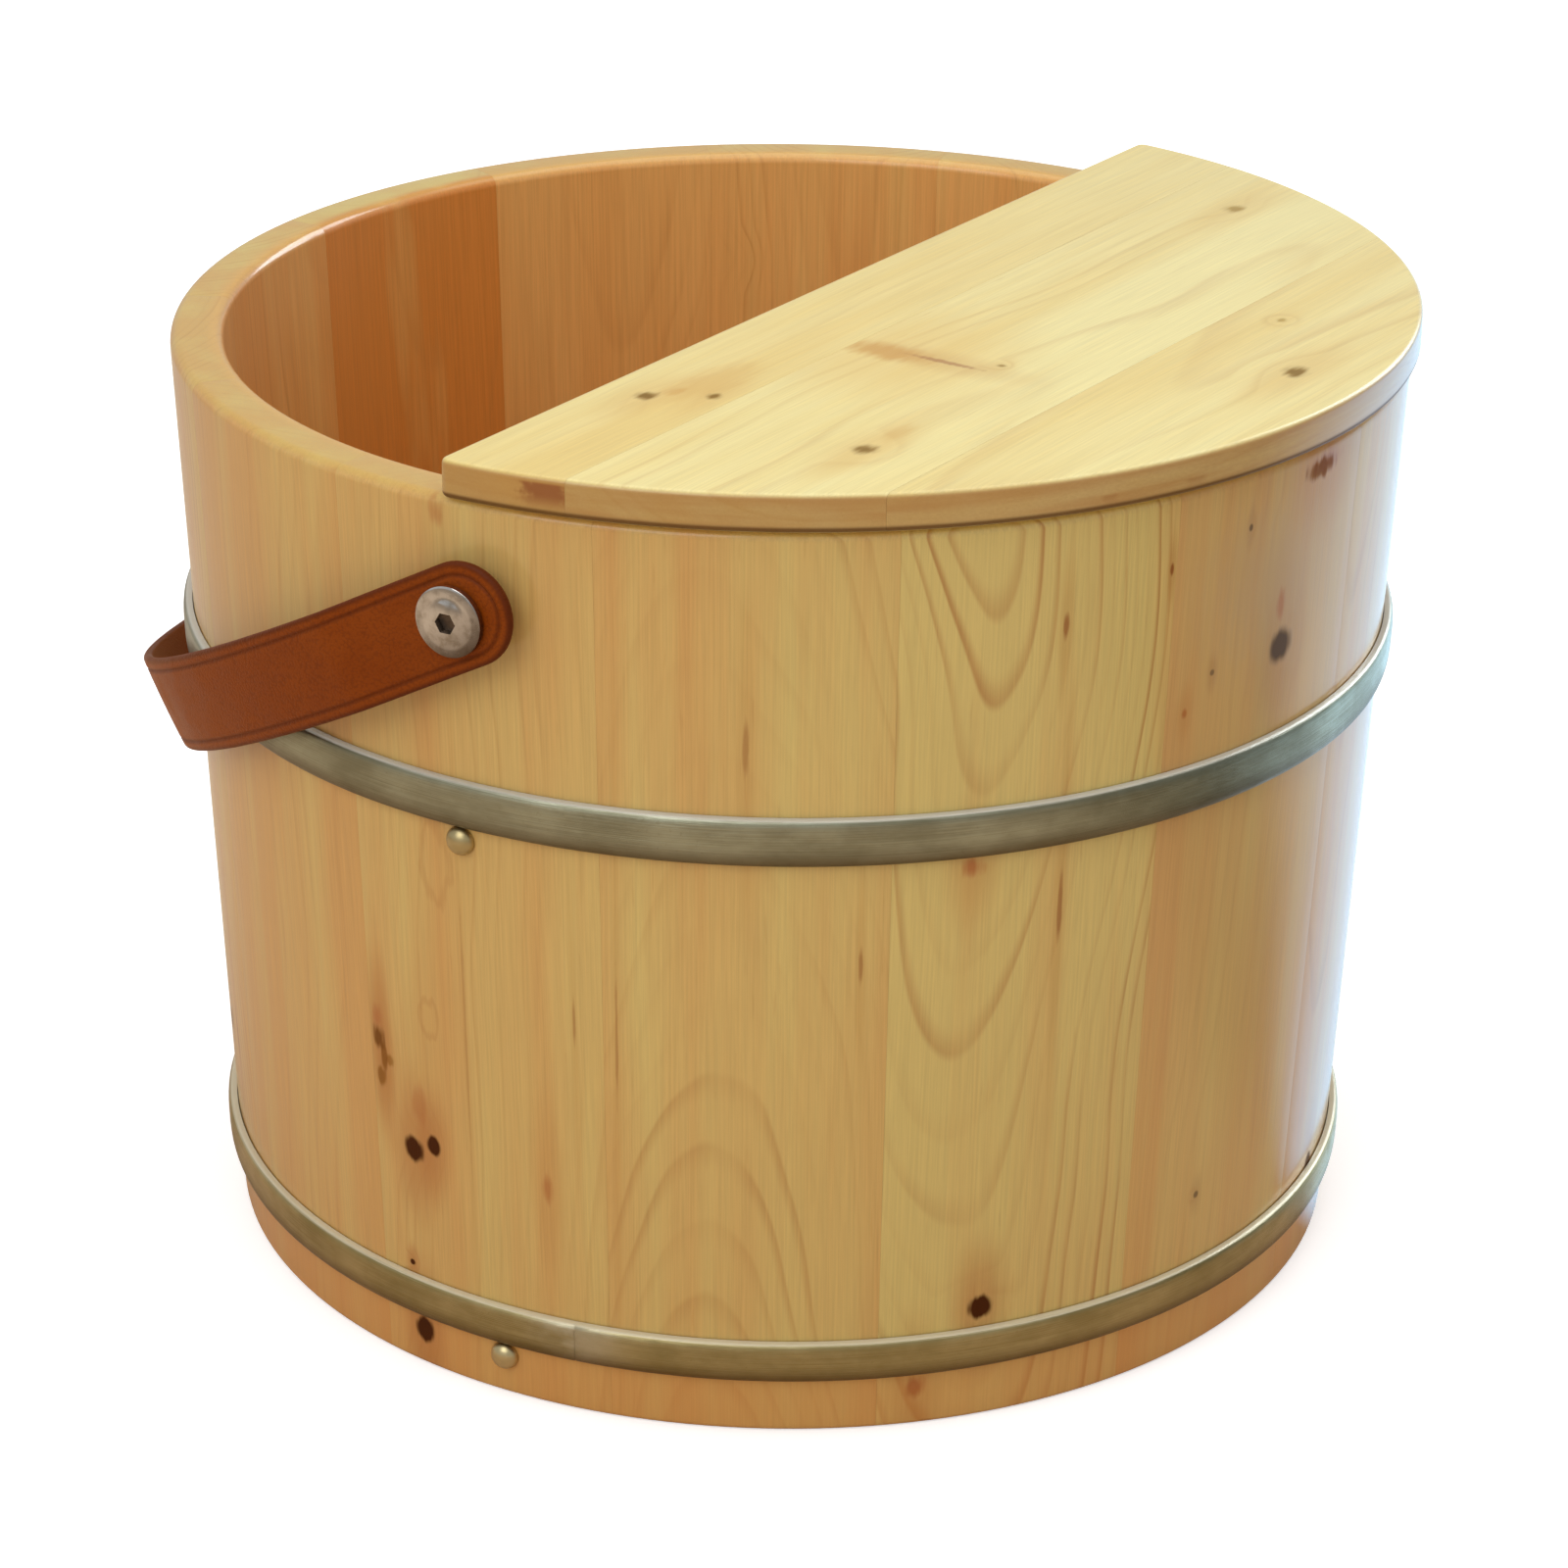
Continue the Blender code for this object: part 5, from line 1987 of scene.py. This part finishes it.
    def build(self) -> None:
        """Builds and dresses the screws and spacers, and dresses the inserts."""
        steel, leather = SCREW_STEEL.material(), SPACER_LEATHER.material()
        strap_low, strap_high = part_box("leather_strap")
        under = max(-strap_low.x, strap_high.x) + GAP
        for side in Side:
            outward = Vector((side.value, 0, 0))
            node = f"handle_screw_{side.label}"
            low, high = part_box(node)
            height = max(-low.x, high.x) - under
            mesh = self.screw_mesh(height, high.x - low.x - height)
            mesh.transform(facing(Vector((side.value * under, 0, middle_of(node).z)), outward))
            show(f"socket_screw_{side.label}", mesh, steel, "tub", node)
            node = f"spacer_washer_{side.label}"
            mesh = self.spacer_mesh(*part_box(node))
            mesh.transform(facing(middle_of(node), outward))
            show(f"leather_spacer_{side.label}", mesh, leather, "tub", node)
        dress([f"threaded_insert_{side.label}" for side in Side], FIXING_ZINC.material())


# Studio


@dataclass(frozen=True)
class PhotoCamera:
    """The camera at the photograph's place.

    Attributes:
        bearing: Turn of the view about the tub's axis.
        distance: Level distance from the axis.
        height: Height above the ground.
        swing: Turn to the right of the axis.
        dip: How far it looks down.
        roll: Turn about the line of sight.
        lens: Focal length in millimetres.
        sensor: Width of the sensor in millimetres.
    """

    bearing: float = -62.1
    distance: float = 1.4422
    height: float = 0.77705
    swing: float = -0.0315
    dip: float = 23.856
    roll: float = 0.592
    lens: float = 107.0
    sensor: float = 36.0

    def place(self, ground: float) -> None:
        """Makes the camera and gives it to the scene.

        Args:
            ground: Level of the ground.
        """
        data = bpy.data.cameras.new("photo_camera")
        data.lens = self.lens
        data.sensor_width = self.sensor
        camera = add_object("photo_camera", data)
        camera.matrix_world = (
            Matrix.Rotation(math.radians(self.bearing), 4, "Z")
            @ Matrix.Translation((0, -self.distance, ground + self.height))
            @ Matrix.Rotation(math.radians(-self.swing), 4, "Z")
            @ Matrix.Rotation(math.radians(90 - self.dip), 4, "X")
            @ Matrix.Rotation(math.radians(self.roll), 4, "Z")
        )
        bpy.context.scene.camera = camera


@dataclass(frozen=True)
class Softbox:
    """A soft light panel that faces the tub.

    Attributes:
        name: Its name.
        bearing: Degrees to the right of the line from tub to camera.
        distance: Level distance from the tub's axis.
        height: Height of its middle above the ground.
        width: Its width.
        breadth: Its other side.
        brightness: Light that it gives off, where 1 looks white.
        colour: Colour of its light.
        mirrored: Whether it only shows in lacquer and metal.
        aim: Height above the ground that it faces.
    """

    name: str
    bearing: float
    distance: float
    height: float
    width: float
    breadth: float
    brightness: float
    colour: tuple[float, float, float] = (1.0, 1.0, 1.0)
    mirrored: bool = False
    aim: float = 0.16

    def place(self, ahead: float, ground: float) -> None:
        """Makes the light.

        Args:
            ahead: Angle round the tub at which the camera stands.
            ground: Level of the ground.
        """
        data = bpy.data.lights.new(self.name, "AREA")
        data.shape = "RECTANGLE"
        data.size = self.width
        data.size_y = self.breadth
        data.energy = self.brightness * math.pi * self.width * self.breadth
        data.color = self.colour
        light = add_object(self.name, data)
        place = polar(self.distance, ahead + self.bearing, ground + self.height)
        turned = (Vector((0, 0, ground + self.aim)) - place).to_track_quat("-Z", "Y").to_matrix().to_4x4()
        light.matrix_world = Matrix.Translation(place) @ turned
        light.visible_camera = False
        light.visible_diffuse = not self.mirrored


@dataclass(frozen=True)
class Studio:
    """Pale floor, soft light and camera.

    Attributes:
        camera: The camera.
        lights: The soft light panels.
        ambient: Strength of the even light all round.
        dusk: Strength of that light to the right, as lacquer and metal mirror it.
        dusk_side: Angle to the right and rise of the direction in which it is that weak.
        floor_radius: Radius of the floor.
        floor_paint: Colour of the floor.
        floor_glow: Even white added to the floor in view near the tub. It grows to full white farther off.
        floor_white: Colour of the floor in view, without that glow.
        daylight: Brightest light on the floor behind the tub's right side, as lacquer and metal mirror it.
        daylight_tint: Colour of that light.
        daylight_edge: Radius and angle to the right of the place on the floor where that light begins.
        floor_shade: Colour of the darker floor to the right, as lacquer and metal mirror it.
    """

    camera: PhotoCamera = PhotoCamera()
    lights: tuple[Softbox, ...] = (
        Softbox("key", bearing=-30, distance=1.9, height=1.8, width=1.6, breadth=1.6, brightness=2.2),
        Softbox("overhead", bearing=150, distance=0.2, height=2.2, width=2.2, breadth=2.2, brightness=1.7),
        Softbox(
            "window",
            bearing=134,
            distance=2.2,
            height=1.3,
            width=1.0,
            breadth=1.6,
            brightness=9.0,
            colour=(0.82, 0.93, 1.0),
            mirrored=True,
        ),
    )
    ambient: float = 0.53
    dusk: float = 0.2
    dusk_side: tuple[float, float] = (112.0, 0.2)
    floor_radius: float = 12.0
    floor_paint: Colour = tint(214, 190, 164)
    floor_glow: float = 0.5
    floor_white: Colour = (0.8, 0.8, 0.8, 1.0)
    daylight: float = 1.8
    daylight_tint: Colour = (0.3, 0.66, 1.0, 1.0)
    daylight_edge: tuple[float, float] = (0.196, 72.0)
    floor_shade: Colour = tint(104, 100, 88)

    @property
    def ahead(self) -> float:
        """Angle round the tub at which the camera stands."""
        return self.camera.bearing - 90

    def mirrored(self, graph: Graph, place: Socket, distance: Socket) -> tuple[Socket, Socket]:
        """Finds what lacquer and metal mirror of the floor to the right: shade, then daylight behind it.

        Args:
            graph: The floor's tree.
            place: The place on the floor.
            distance: Its distance from the tub's middle.

        Returns:
            The share of shade and the daylight's strength, both 0 for rays that are not mirrored.
        """
        edge_radius, edge_angle = self.daylight_edge
        offset = graph.vector_math("SUBTRACT", place, polar(edge_radius, self.ahead + edge_angle, 0))
        offset = graph.vector_math("NORMALIZE", offset.outputs["Vector"], (0, 0, 0)).outputs["Vector"]

        # How much of the way to a point leads away from the camera, and how far to the right it lies
        behind = graph.dot(offset, polar(1, self.ahead + 180, 0))
        behind = graph.plus(behind, graph.ease(distance, 0.38, 0.7, -0.1, 0.1))
        right = graph.dot(place, polar(1, self.ahead + 90, 0))
        shaded = graph.times(graph.ease(behind, -0.8, -0.35), graph.ease(right, 0.2, 0.35))
        shaded = graph.times(shaded, graph.ease(behind, 0.1, 0.35, 1.0, 0.0))
        light = graph.ease(behind, 0.0, 0.75, 0.0, self.daylight)
        light = graph.times(light, graph.ease(right, -0.3, 0.15, 0.08))
        light = graph.times(light, graph.ease(distance, 0.3, 0.5, 0.85, 1.0))
        glossy = graph.ray("Is Glossy Ray")
        return graph.times(shaded, glossy), graph.times(light, glossy)

    def sky(self, graph: Graph) -> Socket:
        """Finds the strength of the even light, which is weaker to the right for rays that are mirrored.

        Args:
            graph: The world's tree.

        Returns:
            The strength.
        """
        angle, rise = self.dusk_side
        direction = graph.add("ShaderNodeTexCoord").outputs["Generated"]
        aside = graph.dot(direction, polar(1, self.ahead + angle, rise).normalized())
        dim = graph.times(graph.ease(aside, 0.5, 0.85), graph.ray("Is Glossy Ray"))
        return graph.ease(dim, 0.0, 1.0, self.ambient, self.dusk)

    def floor_material(self) -> bpy.types.Material:
        """Makes the floor's material, which looks white and keeps the shadow.

        Returns:
            The material.
        """
        material, graph = new_material("studio_floor")
        place = graph.add("ShaderNodeNewGeometry").outputs["Position"]
        distance = graph.vector_math("LENGTH", place, (0, 0, 0)).outputs["Value"]
        shaded, strength = self.mirrored(graph, place, distance)
        colour = graph.blend(shaded, self.floor_paint, self.floor_shade)
        paint = graph.add("ShaderNodeBsdfDiffuse", {"Color": colour})
        daylight = graph.add("ShaderNodeEmission", {"Color": self.daylight_tint, "Strength": strength})
        floor = graph.add("ShaderNodeAddShader", {0: paint.outputs[0], 1: daylight.outputs[0]})
        white = graph.add("ShaderNodeBsdfDiffuse", {"Color": self.floor_white})
        strength = graph.ease(distance, 0.8, 2.4, self.floor_glow, 1.0)
        glow = graph.add("ShaderNodeEmission", {"Color": WHITE, "Strength": strength})
        lit = graph.add("ShaderNodeAddShader", {0: white.outputs[0], 1: glow.outputs[0]})
        shown = {0: graph.ray("Is Camera Ray"), 1: floor.outputs[0], 2: lit.outputs[0]}
        surface = graph.add("ShaderNodeMixShader", shown).outputs[0]
        graph.add("ShaderNodeOutputMaterial", {"Surface": surface})
        material.cycles.emission_sampling = "NONE"
        return material

    def light_world(self) -> None:
        """Gives the scene an even light all round, which looks white."""
        world = bpy.data.worlds.new("studio")
        world.use_nodes = True
        graph = Graph(world.node_tree)
        even = graph.add("ShaderNodeBackground", {"Color": WHITE, "Strength": self.sky(graph)})
        white = graph.add("ShaderNodeBackground", {"Color": WHITE, "Strength": 1.0})
        shown = {0: graph.ray("Is Camera Ray"), 1: even.outputs[0], 2: white.outputs[0]}
        surface = graph.add("ShaderNodeMixShader", shown).outputs[0]
        graph.add("ShaderNodeOutputWorld", {"Surface": surface})
        bpy.context.scene.world = world

    def build(self, ground: float) -> None:
        """Builds the floor, the light and the camera.

        Args:
            ground: Level of the ground.
        """
        shape = bmesh.new()
        bmesh.ops.create_circle(shape, cap_ends=True, segments=96, radius=self.floor_radius)
        bmesh.ops.translate(shape, vec=(0, 0, ground), verts=shape.verts)
        mesh = finished(shape)
        mesh.materials.append(self.floor_material())
        add_object("studio_floor", mesh)
        self.light_world()
        for light in self.lights:
            light.place(self.ahead, ground)
        self.camera.place(ground)
        bpy.context.scene.view_settings.view_transform = "Standard"


def main() -> None:
    """Builds every sub-assembly and the studio."""
    logging.basicConfig(level=logging.INFO, format="%(name)s %(message)s")
    wall = TubWall()
    wall.build()
    TubBottom().build()
    Hoops(wall).build()
    HalfLid().build()
    BailStrap().build()
    Pivots().build()
    Studio().build(wall.foot)


if __name__ == "__main__":
    main()
